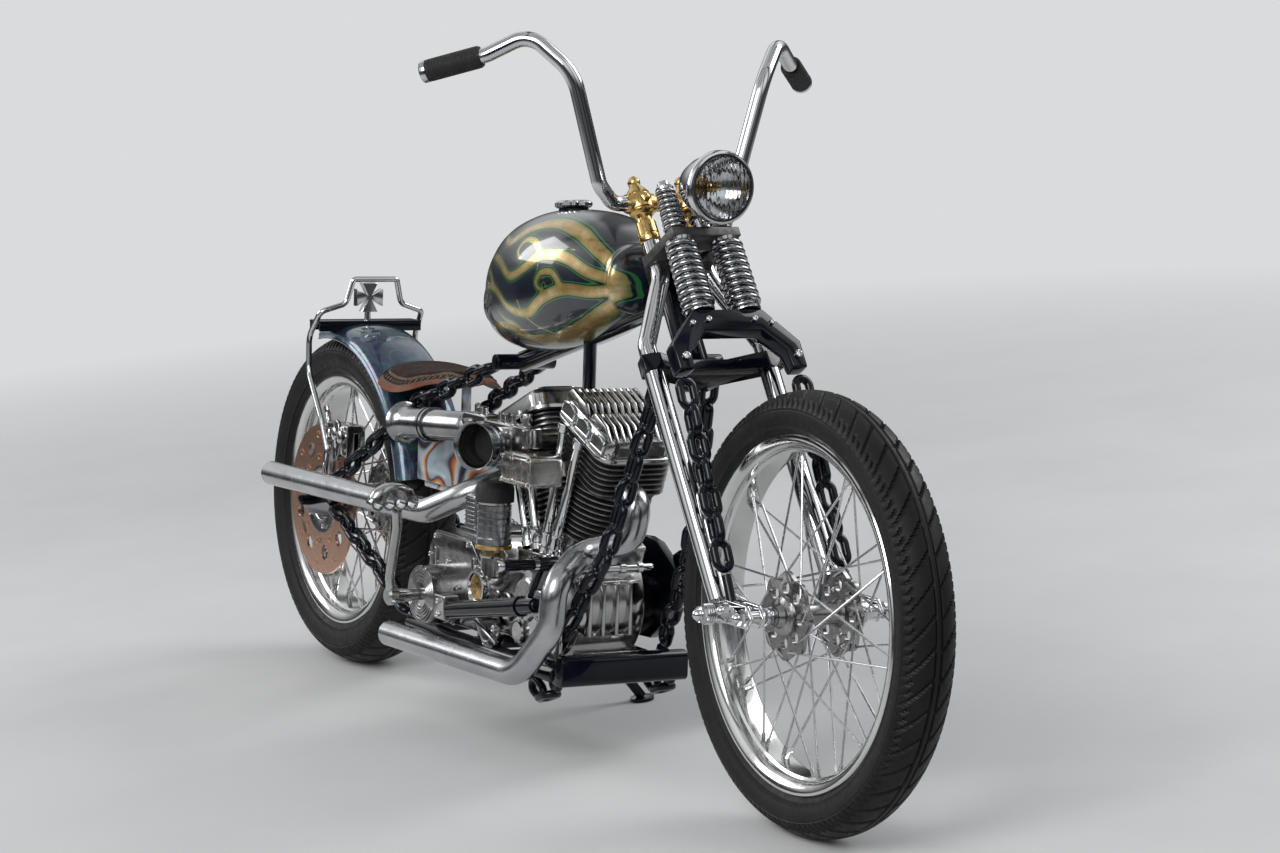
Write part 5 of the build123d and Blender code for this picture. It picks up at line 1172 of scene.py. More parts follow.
# Painted shade: the recesses are dark iron, so the hollows read darker than the polished cover.
recess_shades = [skin([[engine_point(VEE, s, a, FACE_Y + d) for a, s in arched(middle, 17, 330, 340, 7)]
                  for d in (1.5, -0.9)])
            for middle in (-56, 0, 56)]
recess_shades.append(skin([[engine_point(VEE, s, 87.0 + d, MIDDLE_Y + b)
                       for b, s in ((-44, 327), (44, 327), (44, 342), (-44, 342))]
                      for d in (0, 1.4)]))
piece("arched_recess_shade", recess_shades, iron, "frame")
boss_at = engine_point(-VEE, 330, -62)
rear_box = [box(-VEE, FLANGE), box(-VEE, ((323.8, 88, 68, 24), (346, 84, 66, 24), (355, 76, 60, 22),
                                          (360, 64, 50, 20))),
            box(-VEE, ((359, 58, 42, 16), (364, 56, 40, 16), (366, 52, 36, 14))),
            lathe([(-52, 0), (-52, 15), (-88, 13), (-91, 11), (-91, 0)], boss_at, steps=40)]
piece("rear_rocker_cover", rear_box, polished, "frame", ["rear_rocker_box"], crease=30)

# %% [markdown]
# Two carburettors feed the engine through open trumpets. One points at the rear wheel, the other one at
# the road beside the bike. They are thin cones with a rolled lip, held by a ring clamp; a near-black sheet inside each
# is painted shade.

# %% Carburettors and trumpets
side_axis, side_mouth = Vector((0.462, -0.887, 0)).normalized(), Vector((884, -204, 527))
rear_mouth, rear_root = Vector((443, -123.3, 519.7)), Vector((692, -116, 538))
rear_axis, long = (rear_mouth - rear_root).normalized(), (rear_mouth - rear_root).length
trumpets = [
    lathe([(-50, 28), (-50, 33), (-46, 35), (-20, 35.5), (-8, 37), (-3, 40), (0, 42), (1, 41), (-1, 38.5), (-7, 34.5),
           (-20, 32.4), (-46, 32)], side_mouth, side_axis),
    lathe([(-long, 20), (-long, 25), (2 - long, 26), (-34, 27.4), (-16, 28.6), (-7, 31.6), (-2.5, 35.4), (-0.2, 38.5),
           (0.8, 37.6), (-1.2, 34), (-7, 30), (-18, 27), (-40, 24.6)], rear_mouth, rear_axis),
    lathe([(-118, 26), (-118, 31.5), (-111, 31.5), (-111, 28), (-104, 28), (-104, 31.5), (-97, 31.5), (-97, 26)],
          rear_mouth, rear_axis, 60),
    lathe([(-42, 34), (-42, 37), (-34, 37), (-34, 34)], side_mouth, side_axis, 60),
]
piece("trumpets", trumpets, spun_metal, "frame", ["velocity_stacks"], crease=40)
# Painted shade: a near-black rubber wall and disc close each trumpet's bore.
piece("trumpet_bore_shade", [lathe([(-48, 0), (-48, 31.5), (-9, 33.4)], side_mouth, side_axis, 60),
                        lathe([(-70, 0), (-70, 24), (-20, 24.8)], rear_mouth, rear_axis, 60)], grip_rubber, "frame")
manifold = (916, 0, 540)
carb = [slab((x, y, z), rounded_box(a, b, corner), ((-half, 0.93), (-half + 3, 1), (half - 3, 1), (half, 0.93)))
        for x, y, z, a, half, b, corner in ((912, -118, 543, 25, 18, 19, 6), (842, -121, 537, 54, 18, 25, 8),
                                            (748, -115, 540, 46, 21, 27, 8))]
carb += [lathe([(-94, 0), (-94, 24), (-80, 28), (-54, 28), (-50, 34), (-50, 0)], side_mouth, side_axis, 48),
         lathe([(-30, 0), (-30, 20), (-4, 22), (0, 25), (0, 0)], rear_root, rear_axis, 48),
         lathe([(-110, 0), (-110, 17), (-108, 21), (-102, 21), (-100, 17), (0, 17), (0, 0)], manifold, steps=40)]
carb += [lathe([(0, 0), (0, 16), (22, 16), (24, 20), (30.5, 20), (30.5, 0)], manifold, (side * cos(VEE), 0, -sin(VEE)),
               36)
         for side in (1, -1)]
for x, z, r, tall in ((842, 566, 9, 10), (820, 563, 5, 14), (866, 564, 5, 12), (748, 570, 10, 8), (728, 568, 5, 14),
                      (912, 563, 6, 12)):
    carb.append(lathe([(-6, 0), (-6, r + 2), (0, r + 2), (0, r), (tall, r), (tall + 2, r - 2), (tall + 2, 0)],
                      (x, -119, z), UP, 24))
for x, r in ((842, 17), (748, 18)):
    carb.append(lathe([(0, 0), (0, r), (6, r), (8, r - 3), (24, r - 4), (28, r), (34, r), (34, 0)], (x, -119, 482), UP,
                      36))
for x, z in ((812, 546), (872, 546), (812, 526), (872, 526), (722, 552), (774, 552), (722, 528), (774, 528)):
    carb.append(lathe([(-144, 0), (-144, 4), (-141, 5), (-136, 5), (-136, 0)], (x, 0, z), steps=12))
carb.append(bent_rod([(800, -141, 538), (884, -141, 542)], 3.2, 12))
piece("carburettor_bodies", carb, polished, "frame", ["carburettors"])

# %% [markdown]
# The upright magneto is a ribbed bright drum under a black cap, on a brass collar, with a plain finned box
# at its back. Next to it hangs a polished box; its two panels are plain raised frames.

# %% Magneto and side box
MAGNETO = Vector((806.0, -120.0, 0.0))
drum = [(345, 0), (345, 31), (356, 31), (358, 29)]
for start in (360 + step * 11.5 for step in range(5)):
    drum += [(start, 30.4), (start + 8, 30.4), (start + 9.2, 28.6), (start + 10.4, 28.6)]
for name, profile, steps, finish, nodes, crease in (
    ("magneto_drum", drum + [(420, 30), (420, 0)], 96, satin, ["magneto"], 30),
    ("magneto_collar", [(338, 0), (338, 32.5), (344, 33), (345.5, 31), (345.5, 0)], 64, brass, (), 35),
    ("magneto_foot", [(322.3, 0), (322.3, 24), (326, 26), (332, 19), (338, 19), (338, 0)], 48, polished, (), 35),
):
    piece(name, [lathe(profile, MAGNETO, UP, steps)], finish, "frame", nodes, crease)
cap_parts = [lathe([(420, 0), (420, 34), (444, 34), (450, 31), (455, 24), (455, 0)], MAGNETO, UP, 64)]
cap_parts += [lathe([(440, 0), (440, 8), (452, 7), (454.5, 4), (454.5, 0)],
                    MAGNETO + Vector((21 * cos(angle), 21 * sin(angle), 0)), UP, 20)
              for angle in pi * (np.arange(4) + 0.5) / 2]
piece("magneto_cap", cap_parts, grip_rubber, "frame")
side_box = [slab((768, -130, 398), rounded_box(19, 29, 5), ((-18, 0.92), (-16, 1), (18, 1)))]
side_box += [slab((768, -130, 376 + 7.4 * step), rounded_box(17, 1.5, 1), ((-20, 1), (17, 1))) for step in range(7)]
piece("magneto_box", side_box, satin, "frame")
coil = [slab((956, 0, 494), rounded_box(52.5, 27, 9), ((-160, 0.93), (-157, 1), (-98, 1), (-95, 0.95))),
        slab((996, 0, 498), rounded_box(8, 13, 2), ((-97, 1), (-72.3, 1))),
        slab((944, 0, 494), rounded_box(1.6, 25, 1), ((-161.4, 1), (-157, 1)))]
coil += [bent_rod([(middle + a, -160.3, 494 + b) for a, b in rounded_box(half, 20, 4)], 1.5, 8, closed=True)
         for middle, half in ((924, 16), (976, 29))]
piece("plain_side_box", coil, bright_cast, "frame", ["coil_box"])

# %% [markdown]
# Castings, plates and forgings keep the shape of their solids, but no real edge is knife sharp. So a copy
# of each solid is merged, its flat faces are joined, and every hard edge is broken with a small round. That
# line of light along an edge is what makes metal look like metal.

# %% Broken edges on castings and plates
BODY_OF = {node: body for body, nodes in frame["record"]["behaviour"]["bodies"].items() for node in nodes}


def edged(node, finish, width, round_long=0.0, long_from=0.12):
    """A copy of a solid with its hard edges rounded, and its long edges more if asked."""
    mesh = frame["nodes"][node].data.copy()
    shape = bmesh.new()
    shape.from_mesh(mesh)
    bmesh.ops.remove_doubles(shape, verts=shape.verts, dist=0.00003)
    bmesh.ops.dissolve_limit(shape, angle_limit=radians(1.0), verts=shape.verts, edges=shape.edges)
    for offset, sharper, longer, segments, profile in (
        (round_long, 60, long_from, 5, 0.5), (width, 38, width * 0.0012, 2, 0.6),
    ):
        if offset:
            hard = [e for e in shape.edges if len(e.link_faces) == 2 and e.is_convex
                    and e.calc_face_angle(0) > radians(sharper) and e.calc_length() > longer]
            bmesh.ops.bevel(shape, geom=hard, offset=offset / 1000, segments=segments, profile=profile, affect="EDGES",
                            clamp_overlap=False)
    shape.to_mesh(mesh)
    shape.free()
    mesh.materials.clear()
    mesh.materials.append(finish.material)
    dress(bpy.data.objects.new(node + "_edged", mesh), BODY_OF[node], [node], 38.0)


for finish, node, *rounds in (
    (iron, "fork_stem", 1.0), (black, "lower_crown", 2.4), (black, "spring_perch", 3.8), (chrome, "fork_rockers", 1.2),
    (black, "frame_neck", 1.0), (black, "lower_frame", 1.4, 11, 0.22), (black, "axle_plates", 1.2),
    (polished, "crankcase", 1.8, 6), (polished, "timing_cover", 2.4), (polished, "gearbox", 1.8, 6),
    (black, "primary_drive", 1.6), (black, "foot_controls", 0.8), (black, "side_stand", 0.8),
    (polished, "brake_caliper", 1.6), (chrome, "tail_lamp", 1.2), (swirl, "oil_tank", 2.0),
):
    edged(node, finish, *rounds)

# %% [markdown]
# The fender is one rolled sheet that follows the rear tyre, round in section, with a small wired lip. Rings
# of the section set round the axle and skinned give its true curve.

# %% Rear fender
outer = [(72 * cos(a) * (1 - 0.04 * sin(a)), 316 + 28 * sin(a) ** 0.62) for a in np.linspace(0, pi, 33)]
inner = [(y * 0.955, r - 3.0 if 316 < r else r) for y, r in outer]
lip = [(72, 316), (74, 314.5), (73, 312.5), (70, 313), (68.8, 316)]
section = outer + [(-a, b) for a, b in lip] + inner[::-1] + lip[::-1]
fender_rings = [[(r * cos(a), y, REAR_RADIUS + r * sin(a)) for y, r in section]
                for a in np.radians(np.linspace(13, 101, 65))]
piece("rolled_fender", [skin(fender_rings)], flake, "frame", ["rear_fender"], crease=50)

# %% [markdown]
# The saddle is leather pulled over firm foam on a steel pan. It starts as a closed form a little smaller
# than the real one; a short cloth simulation with pressure inside gives it the slight swell and the soft
# shoulders that leather has. Its darker middle is bordered by a tan edge, laced all the way round.

# %% Saddle shape and its swell
SADDLE = np.array([(228, 56, 2, 19), (262, 92, 11, 23), (330, 109, 24, 22), (392, 101, 19, 20), (436, 63, 2, 21),
                   (488, 19, 1, 20)], dtype=float)
PAN, SWELL_FRAMES, MOST_SWELL = 588, 20, 0.0045
saddle_rings = []
for x, half, drop, rise in smooth_between(SADDLE, np.linspace(229.5, 487.0, 44)):
    ring = []
    for c, s in round_angles(56):
        y = half * fat(c, 0.72)
        share = abs(y) / half
        top = PAN + rise * (1 - 0.55 * share ** 2.2) - (drop + 4) * share ** 5
        low = PAN + 0.4 - drop * share ** 3
        ring.append((x, y, (top + low) / 2 + max((top - low) / 2, 5.0) * fat(s, 0.8)))
    saddle_rings.append(ring)
outline = smooth_between(SADDLE, np.linspace(229.5, 487.0, 80))[:, :2]
rim_line = np.vstack([outline, outline[::-1] * (1, -1), outline[:1]])
saddle = piece("leather_saddle", [skin(saddle_rings)], leather, "frame", ["seat"], crease=180)
soft = bpy.data.objects.new("soft_saddle", saddle.data.copy())
scene.collection.objects.link(soft)
before = np.array([v.co for v in soft.data.vertices])
cloth = soft.modifiers.new("swell", "CLOTH")
cloth.settings.quality = 6
cloth.settings.use_pressure = True
cloth.settings.uniform_pressure_force = 4.0
cloth.settings.tension_stiffness = cloth.settings.compression_stiffness = 18.0
cloth.settings.effector_weights.gravity = 0.0
cloth.point_cache.frame_start, cloth.point_cache.frame_end = 1, SWELL_FRAMES
for step in range(1, SWELL_FRAMES + 1):
    scene.frame_set(step)
swollen = bpy.data.meshes.new_from_object(soft.evaluated_get(bpy.context.evaluated_depsgraph_get()))
move = np.array([v.co for v in swollen.vertices]) - before
length = np.linalg.norm(move, axis=1)
flat = upright_points(saddle)
from_edge = stroke_distance(flat[:, :2], rim_line, np.zeros(len(rim_line)))
allowed = np.minimum(length, MOST_SWELL) / np.maximum(length, 1e-9)
allowed *= np.clip((from_edge - 6) / 16, 0, 1) * (flat[:, 2] > PAN)
swollen.vertices.foreach_set("co", (before + move * allowed[:, None]).astype(np.float32).ravel())
swollen.materials.clear()
swollen.materials.append(leather.material)
swollen.polygons.foreach_set("use_smooth", [True] * len(swollen.polygons))
saddle.data = swollen
bpy.data.objects.remove(soft)
scene.frame_set(1)
print("saddle swell up to", round(float((length * allowed).max()) * 1000, 1), "mm")
plush = saddle.modifiers.new("smooth", "SUBSURF")
plush.levels = plush.render_levels = 1

# %% [markdown]
# How far each point lies from the saddle's outline decides its colour: tan border outside, dark middle
# inside. The lacing is one small leather loop set again and again along the line between the two.

# %% Saddle border and lacing
bring_along(saddle, "border_gap", stroke_distance(upright_points(saddle)[:, :2], rim_line, np.zeros(len(rim_line))))


def walk(line):
    """How far along a line each of its points lies."""
    return np.concatenate([[0], np.cumsum(np.linalg.norm(np.diff(line, axis=0), axis=1))])


def on_line(line, walked, spot):
    """The point that lies so far along a flat line."""
    return [np.interp(spot, walked, line[:, k]) for k in (0, 1)]


LACED_IN, LACE_EVERY, SADDLE_MIDDLE = 15.0, 12.0, np.array([340.0, 0.0])
laced_line = []
for a, b in zip(rim_line, rim_line[1:]):
    run = b - a
    normal = np.array([run[1], -run[0]]) / max(np.linalg.norm(run), 1e-9)
    laced_line.append((a + b) / 2 + normal * LACED_IN * (1 if normal @ (SADDLE_MIDDLE - (a + b) / 2) > 0 else -1))
laced_line = np.array(laced_line)
walked = walk(laced_line)
places, turns = [], []
downward = (PARKED.to_3x3() @ Vector((0, 0, -1))).normalized()
for spot in np.arange(4, walked[-1] - 4, LACE_EVERY):
    (x, y), (x2, y2) = on_line(laced_line, walked, spot), on_line(laced_line, walked, spot + 2)
    hit, place, normal, _ = saddle.ray_cast(PARKED @ Vector((x, y, 660)), downward)
    if hit:
        up = (UPRIGHT.to_3x3() @ normal).normalized()
        places.append(UPRIGHT @ place + up * 0.5)
        turns.append(turned((x2 - x, y2 - y, 0), up))
lace_tree = Pattern("laces_on_points", Wire=1.0)
line = lace_tree.add("GeometryNodeCurvePrimitiveLine", {}, (-4.6, -6.2, 0.0), (4.6, 6.2, 0.0)).outputs[0]
lace = lace_tree.sweep(line, lace_tree.ring(lace_tree.given["Wire"], 6))
lace_tree.close(lace_tree.place(lace_tree.join(lace, lace_tree.moved(lace, size=(1, -1, 1)))))
grow("saddle_lacing", lace_tree, seeds(places, turn=turns), thread, "frame")

# %% [markdown]
# Screws and nuts: a socket-headed screw is a short drum with a ring on top; an acorn nut is a six-sided
# base with a dome. Each tree puts one on every point, as large as the point says.

# %% Screws and acorn nuts
screw_tree = Pattern("screws_on_points", Head=1.0)
lip_ring = screw_tree.moved(screw_tree.sweep(screw_tree.ring(0.76, 20), screw_tree.ring(0.24, 8)), (0, 0, 0.78))
wall = screw_tree.moved(screw_tree.drum(screw_tree.given["Head"], 1.5, 20), (0, 0, -0.02))
screw = screw_tree.join(screw_tree.drum(0.74, 1.5, 20), lip_ring, wall)
screw_tree.close(screw_tree.place(screw, screw_tree.stored("size")))
nut_tree = Pattern("acorn_nuts_on_points", Head=1.0)
dome = nut_tree.add("GeometryNodeMeshUVSphere", {}, Segments=16, Rings=10, Radius=0.74).outputs["Mesh"]
nut = nut_tree.join(nut_tree.drum(nut_tree.given["Head"], 1.0, 6), nut_tree.moved(nut_tree.smooth(dome), (0, 0, 0.45)),
                    nut_tree.moved(nut_tree.drum(1.22, 0.3, 24), (0, 0, -0.42)))
nut_tree.close(nut_tree.place(nut, nut_tree.stored("size")))


def fasten(name, tree, spots, finish, body):
    """Put fasteners on (place, direction out, size) spots."""
    places, outs, sizes = zip(*spots)
    turns = [turned(Vector(out).orthogonal(), out) for out in outs]
    grow(name, tree, seeds(places, turn=turns, size=[float(s) for s in sizes]), finish, body)


def circle(centre, y, radius, angles):
    """Points on an upright circle round (x, z)."""
    return [(centre[0] + radius * cos(a), y, centre[1] + radius * sin(a)) for a in angles]


COVER, STARTER, WINDOW = -110.4, (600, 228), (792, 267)
screws = [((crank.x + a, COVER, crank.z + b), RIGHT, 5.0) for a, b in (
    (-140, -28), (-140, 36), (-80, 50), (-10, 52), (60, 52), (88, 14), (88, -34), (36, -74), (-72, -60), (-20, -72))]
screws += [((x, -112.2, z), RIGHT, 4.6) for x, z in ((546, 190), (546, 292), (566, 328), (696, 328), (730, 292),
                                                     (730, 190), (680, 190))]
screws += [(place, RIGHT, 4.2) for place in circle(STARTER, -112.4, 62, (0.3, 1.3, 5.4, 4.2))]
screws += [(engine_point(angle, 324.5, a, MIDDLE_Y + b), (sin(angle), 0, cos(angle)), 4.4) for angle in (VEE, -VEE)
           for a, b in ((-84, -58), (84, -58), (-84, 58), (84, 58), (-30, -71), (30, -71), (-30, 71), (30, 71))]
screws += [((956 + a, -160.2, 494 + b), RIGHT, 3.2) for a, b in ((-47, -21), (47, -21), (-47, 21), (47, 21))]
screws += [((956 + a, -98.2, 345.2), UP, 3.6) for a in (-94, -52, -12, 12)]
fasten("engine_screws", screw_tree, screws, steel, "frame")
fasten("perch_screws", screw_tree, [(fork_point(94.6, side * left, up), FORK_AHEAD, size) for side in BOTH
                                    for left, up, size in (
    (104, -12, 6.5), (43, 54, 5.0), (74, 48, 4.5))], chrome, "fork")

# %% [markdown]
# The kick pedal is a ring block with four finger holes, the arm a bent forged bar. The starter's cover
# below it is turned with rings. All of it is polished by hand.

# %% Kick starter
PEDAL, starter_at = Vector((692, -262, 410)), (STARTER[0], 0, STARTER[1])
pedal = [lathe([(-12, 8.6), (-12, 12), (-10.5, 13), (10.5, 13), (12, 12), (12, 8.6)], (692, -262 + y, 408), AHEAD, 32,
               True)
         for y in (-33, -11, 11, 33)]
shoulder = [(-45, -3), (-45, 6), (-38, 18), (-20, 28), (0, 31), (20, 28), (38, 18), (45, 6), (45, -3), (33, 6.5),
            (22, 2), (11, 6.5), (0, 2), (-11, 6.5), (-22, 2), (-33, 6.5)]
pedal.append(skin([[PEDAL + Vector((x, a * k, b * (0.5 + 0.5 * k) + 3)) for a, b in shoulder] for x, k in mirrored(
    [(-14, 0.45), (-13, 0.66), (-11, 0.82), (-7, 0.95), (0, 1)])]))
pedal.append(bent_rod(bend([(600, -216, 228), (604, -222, 262), (668, -240, 360), (690, -252, 394)], [20, 60]), 8.5,
                      20))
pedal.append(lathe([(-226, 0), (-226, 13), (-222, 17), (-208, 17), (-204, 13), (-158.3, 11), (-158.3, 0)],
                   starter_at, steps=40))
piece("kick_starter", pedal, polished, "frame", ["kick_lever"], crease=40)
rings = [(-157.5, 0), (-157.5, 20)]
for r in (24, 30, 36, 42, 48):
    rings += [(-157.6, r - 2), (-160.2, r - 0.5), (-160.2, r + 1.5), (-157.6, r + 3)]
rings += [(-157.5, 52.4), (-150, 53.2), (-112, 53.2)]
piece("starter_cover", [lathe(rings, starter_at)], hub_steel, "frame")

# %% [markdown]
# The timing side gets what the solid leaves out: the brass window, round bosses with their screws, a rib,
# the oil fittings, and collars at both ends of the pushrod tubes.

# %% Timing side details
window_at, peg = (WINDOW[0], 0, WINDOW[1]), (1028, 0, 342)
boss = [lathe([(COVER - out, 0), (COVER - out, r - 5), (COVER - out + 2.5, r - 1.5), (COVER + 2, r)], (x, 0, z),
              steps=48)
        for x, z, r, out in ((916, 263, 40, 5), (852, 242, 27, 8), (975, 262, 30, 9), (900, 205, 22, 9))]
boss.append(lathe([(COVER - 29, 34), (COVER - 27, 37), (COVER - 18, 38), (COVER + 2, 38.5)], window_at, steps=56))
boss.append(slab(crank, rounded_box(84, 5, 3), ((COVER - 6, 1), (COVER + 2, 1))))
boss.append(slab(crank - Vector((4, 0, 36)), rounded_box(5, 32, 3), ((COVER - 5, 1), (COVER + 2, 1))))
piece("cover_bosses", boss, polished, "frame", crease=32)
for name, profile, finish in (
    ("brass_window", ((-34.2, 0), (-33.2, 8), (-33, 25), (-32, 26)), brass),
    ("window_ring", ((-32, 24), (-36.5, 26.5), (-36.5, 31), (-29, 33), (-26, 33)), chrome),
):
    piece(name, [lathe([(COVER + out, r) for out, r in profile], window_at, steps=56)], finish, "frame")
tubes = []
for bottom_x, across, angle in ((962, 6, VEE), (930, -54, VEE), (902, 54, -VEE), (870, -6, -VEE)):
    foot = Vector((bottom_x, -84.0, 348.0))
    run = engine_point(angle, 314.5, across, -84.0) - foot
    high = run.length
    tubes.append(lathe([(0, 0), (0, 12), (10, 12), (12, 9.5), (30, 9.5), (32, 10.8), (36, 10.8), (38, 8.4),
                        (high * 0.55, 8.4),
                        (high * 0.55 + 2, 7.4), (high - 16, 7.4), (high - 14, 10), (high - 4, 11), (high, 11),
                        (high, 0)],
                       foot, run, 28))
piece("pushrod_covers", tubes, chrome, "frame", ["pushrod_tubes"])


def soften(outline, radius, steps=5):
    """Round the corners of an outline with short curves."""
    out = []
    for i, corner in enumerate(outline):
        here, before, after = Vector(corner), Vector(outline[i - 1]), Vector(outline[(i + 1) % len(outline)])
        reach = min(radius, (before - here).length * 0.45, (after - here).length * 0.45)
        a, b = here + (before - here).normalized() * reach, here + (after - here).normalized() * reach
        out += [tuple(a * (1 - t) ** 2 + here * 2 * t * (1 - t) + b * t * t) for t in np.arange(steps + 1) / steps]
    return out


mount_plate = soften([(0, 0), (58, 4), (64, 40), (30, 78), (4, 52)], 12)
low_plate = soften([(0, 0), (36, -36), (70, -30), (92, 4), (60, 22), (10, 20)], 12)
piece("polished_plates", [slab((1000, 0, 176), mount_plate, ((-122, 1), (-116, 1))),
                          slab((760, 0, 196), low_plate, ((-128, 1), (-112, 1))),
                          bent_rod([(768, -132, 206), (850, -132, 178)], 4.5, 16)], polished, "frame", bevel=1.0)
piece("square_block", [slab((700, -156, 220), rounded_box(21.5, 21.5, 3),
                            ((-15, 0.92), (-13.5, 1), (13.5, 1), (15, 0.92)))],
      polished, "frame")
piece("black_cylinder", [bent_rod([(722, -156, 217.7), (742, -156, 221.2), (980, -156, 263.4), (1034, -156, 273)],
                                  [16, 16, 16, 12], 32),
                         lathe([(0, 14), (0, 18), (8, 18), (8, 14)], (980, -156, 263.4), (0.985, 0, 0.174), 32)], black,
      "frame")
controls = [bent_rod([(1028, -134, 336), (1012, -137, 332), (990, -151, 262)], 6.6, 20)]
controls += [lathe(profile, peg, steps=32) for profile in (
    [(-226.5, 0), (-226.5, 8.6), (-224, 10.2), (-216, 10.2), (-216, 0)],
    [(-160, 12.9), (-160, 14), (-152, 14), (-152, 12.9)])]
piece("control_link", controls, chrome, "frame")
screws = [((x, y, z), RIGHT, size) for x, y, z, size in (
    (1010, -122.2, 190, 6.5), (1052, -122.2, 224, 6.5), (772, -128.2, 204, 5), (838, -128.2, 202, 6.5),
    (800, -128.2, 172, 4.5),
    (700, -171.2, 232, 4.5), (700, -171.2, 208, 4.5))]
screws += [(place, RIGHT, 3.6) for place in circle((975, 262), COVER - 8.2, 21, (0.5, 2.6, 4.7))]
screws += [(place, RIGHT, 4.4) for place in circle(WINDOW, COVER - 0.2, 44, (0.9, 2.6, 3.9, 5.4))]
fasten("timing_screws", screw_tree, screws, chrome, "frame")
nuts = [(place, (0, side, 0), size) for side in BOTH for place, size in (
    (fork_point(0, side * 147, -415), 12.5), ((FOOT_X, side * 126, FOOT_Z), 10.0), ((1659, side * 133, 347), 11.0))]
fasten("rocker_nuts", nut_tree, nuts, chrome, "fork")
washer = ((0, 8), (0, 15.5), (0.8, 16.5), (2.2, 16.5), (3, 15.5), (3, 8))
piece("pivot_washers", [lathe([(side * (start + out), r) for out, r in washer], fork_point(0, 0, -415), steps=40,
                              closed=True)
                        for side in BOTH for start in (126, 130, 134, 138)], steel, "fork")
guard_bolts = [((x, 132.2, z), LEFT, 5.5) for x, z in ((576, 296), (616, 332), (760, 343), (924, 352), (1066, 290),
                                                       (960, 206), (800, 196), (620, 192))]
fasten("guard_bolts", screw_tree, guard_bolts, chrome, "frame")
breather = [bent_rod(bend([(1030, -66, 330), (1049, -58, 332), (1049, 58, 332), (1030, 66, 330)], [8, 8]), 6.0, 20)]
breather += [lathe([(y, 5), (y, 9.5), (y + 9, 9.5), (y + 9, 5)], (1049, 0, 332), steps=24, closed=True)
             for y in (-42, -4, 30)]
piece("front_oil_tube", breather, chrome, "frame")

# %% [markdown]
# The brake disc is a copper-coloured ring on a steel carrier, pierced by round holes. The caliper's
# pistons and bolts show on its outer face.

# %% Brake disc and caliper details
HUB, DISC_Y, HOLES = (0, REAR_RADIUS), -82.5, 9
between_holes = 2 * pi * (np.arange(HOLES) + 0.5) / HOLES
disc_ring = [pierced_ring((0, DISC_Y, REAR_RADIUS), 62, 146, 15.0, HOLES, 5.0, sides=32)]
disc_ring += [lathe([(-3, 5), (-3.4, 6.2), (3.4, 6.2), (3, 5), (3, 0), (-3, 0)], place, steps=16)
              for radius in (126, 84) for place in circle(HUB, DISC_Y, radius, between_holes)]
piece("copper_disc", disc_ring, copper, "rear_wheel", crease=40)
carrier = [(-85.2, 40), (-86.5, 42), (-86.5, 66), (-80, 68), (-76, 60), (-72.4, 58), (-72.4, 40)]
piece("disc_carrier", [lathe(carrier, REAR_WHEEL, closed=True)], polished, "rear_wheel", ["brake_disc"])
fasten("disc_screws", screw_tree, [(place, RIGHT, 4.4) for place in circle(HUB, DISC_Y - 4.3, 54,
                                                                           2 * pi * np.arange(5) / 5)],
       steel, "rear_wheel")
pistons = [lathe(profile, (104 + a, 0, 450 + b), steps=steps) for profile, steps, spots in (
    ([(-113, 0), (-113, 9), (-110.8, 12.5), (-103, 13)], 32, ((-26, 8), (26, 8), (0, 12))),
    ([(-107, 0), (-107, 5), (-103, 6)], 20, ((-38, -20), (38, -20), (0, -22)))) for a, b in spots]
piece("caliper_pistons", pistons, polished, "frame")

# %% [markdown]
# The final chain is a roller chain on the left. One link is a roller between two plates; the tree lays it
# on points spaced along the loop. The sprockets under it have real teeth.

# %% Roller chain and sprockets
BIG, SMALL, CHAIN_Y, ROLLER_PITCH, GEARBOX = 102.0, 42.0, 81.0, 15.875, (640, 258)
big, small = Vector(HUB), Vector(GEARBOX)
tilt_by = atan2(small.y - big.y, small.x - big.x)
open_by = pi / 2 - (BIG - SMALL) / (small - big).length
arcs = ((big, BIG, tilt_by + open_by + (2 * pi - 2 * open_by) * np.arange(49) / 48),
        (small, SMALL, tilt_by - open_by + 2 * open_by * np.arange(33) / 32))
loop = [(centre.x + radius * cos(a), centre.y + radius * sin(a)) for centre, radius, angles in arcs for a in angles]
loop = np.array(loop + loop[:1])
walked = walk(loop)
links = round(walked[-1] / ROLLER_PITCH)
roller_tree = Pattern("roller_links_on_points", Plate=7.0)
side_plate = roller_tree.drum(roller_tree.given["Plate"], 1.6, 18)
roller_tree.close(roller_tree.place(roller_tree.join(
    roller_tree.drum(5.0, 11.0, 14), *(roller_tree.moved(side_plate, (0, 0, up), (1.65, 0.9, 1.0))
                                       for up in (-5.4, 5.4)))))
places, turns = [], []
for here in walked[-1] * (np.arange(links) + 0.5) / links:
    (x, z), (x2, z2) = on_line(loop, walked, here), on_line(loop, walked, here + 3)
    places.append((x, CHAIN_Y, z))
    turns.append(turned((x2 - x, 0, z2 - z), LEFT))
grow("roller_chain", roller_tree, seeds(places, turn=turns), steel, "frame", ["final_chain"], Plate=6.8)


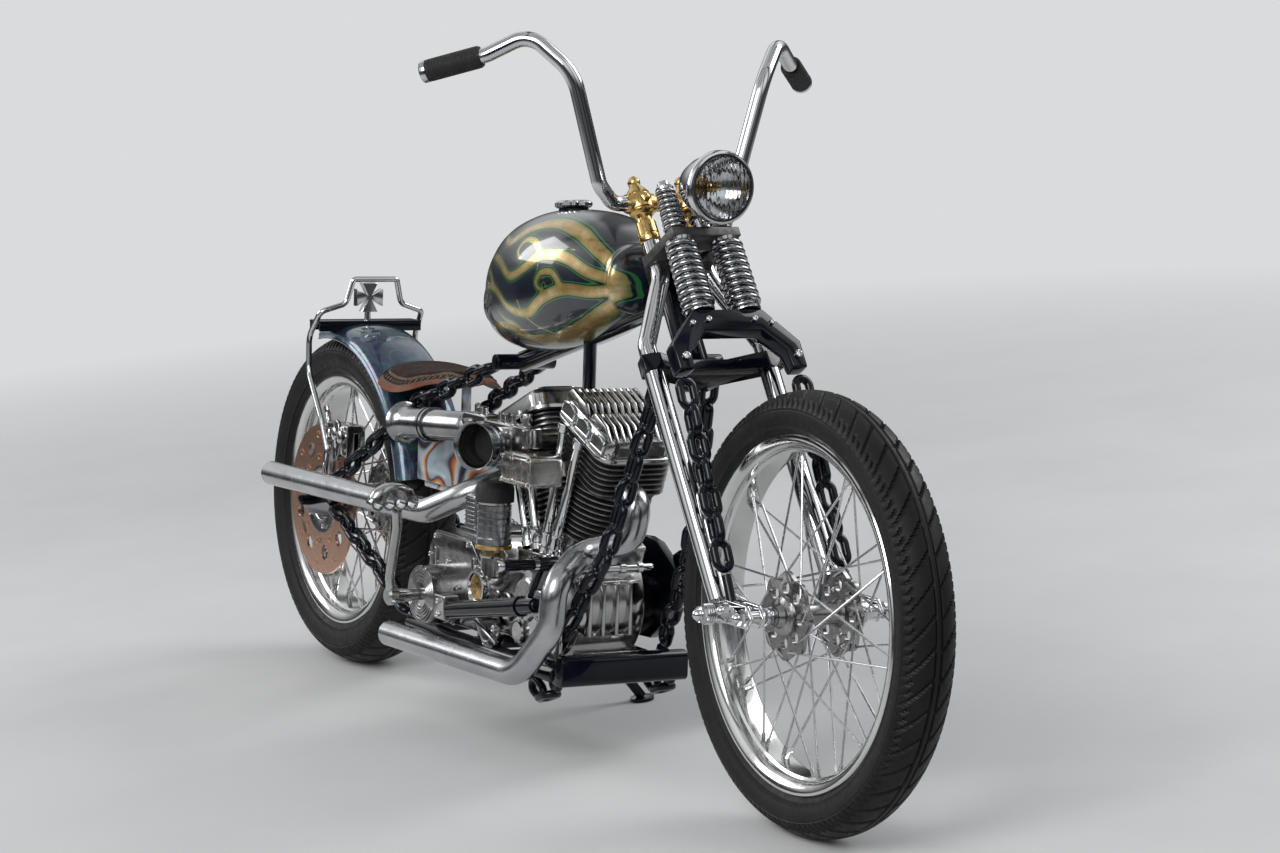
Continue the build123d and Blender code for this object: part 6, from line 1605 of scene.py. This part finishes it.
def toothed(centre, teeth, root, tip, inner, thickness=6.0):
    """A sprocket with round-bottomed teeth."""
    points, faces, count = [], [], teeth * 8
    for step in range(count):
        angle = 2 * pi * step / count
        radius = root + (tip - root) * (0.5 + 0.5 * cos(angle * teeth)) ** 0.7
        for r, y in ((inner, -0.5), (radius, -0.5), (radius, 0.5), (inner, 0.5)):
            points.append(Vector(centre) + Vector((r * cos(angle), y * thickness, r * sin(angle))))
        this, following = step * 4, (step + 1) % count * 4
        faces += [(this + k, this + (k + 1) % 4, following + (k + 1) % 4, following + k) for k in range(4)]
    return points, faces


gear_at = (0, CHAIN_Y, REAR_RADIUS)
rear_gear = [toothed(gear_at, 40, 95, 103, 78), pierced_ring(gear_at, 40, 79, 12, 7, 6.0),
             lathe([(72.4, 40), (72.4, 52), (78, 50), (78, 40)], REAR_WHEEL, steps=48, closed=True)]
piece("toothed_sprocket", rear_gear, steel, "rear_wheel", ["rear_sprocket"])
piece("toothed_gearbox_sprocket", [toothed((GEARBOX[0], CHAIN_Y, GEARBOX[1]), 17, 36, 43, 15)], steel, "frame")

# %% [markdown]
# The floor is a pale sheet just under the tyres. It only has to catch the soft shadow, so away from the
# motorcycle it fades into the backdrop and no horizon cuts the picture.

# %% Pale floor
bpy.ops.mesh.primitive_plane_add(size=30.0, location=(0, 0, -0.0005))
floor = bpy.context.active_object
floor.name = "pale_floor"
pale = Finish("pale_floor_paint", Specular_IOR_Level=0.3)
pale.colour(pale.ramp(pale.noise(3, 4), (0.3, (0.62, 0.62, 0.62)), (0.7, (0.66, 0.66, 0.655))))
pale.rough(0.7)
reach = pale.add("ShaderNodeVectorMath", {"operation": "LENGTH"}, pale.upright).outputs["Value"]
clear = pale.add("ShaderNodeBsdfTransparent", {}).outputs[0]
soft_edge = pale.add("ShaderNodeMixShader", {}, pale.spread(reach, 0.0, 1.0, 2.0, 4.6), pale.shader.outputs[0], clear)
pale.feed(pale.tree.nodes["Material Output"].inputs["Surface"], soft_edge.outputs[0])
floor.data.materials.append(pale.material)
print("floor", floor.dimensions[:])
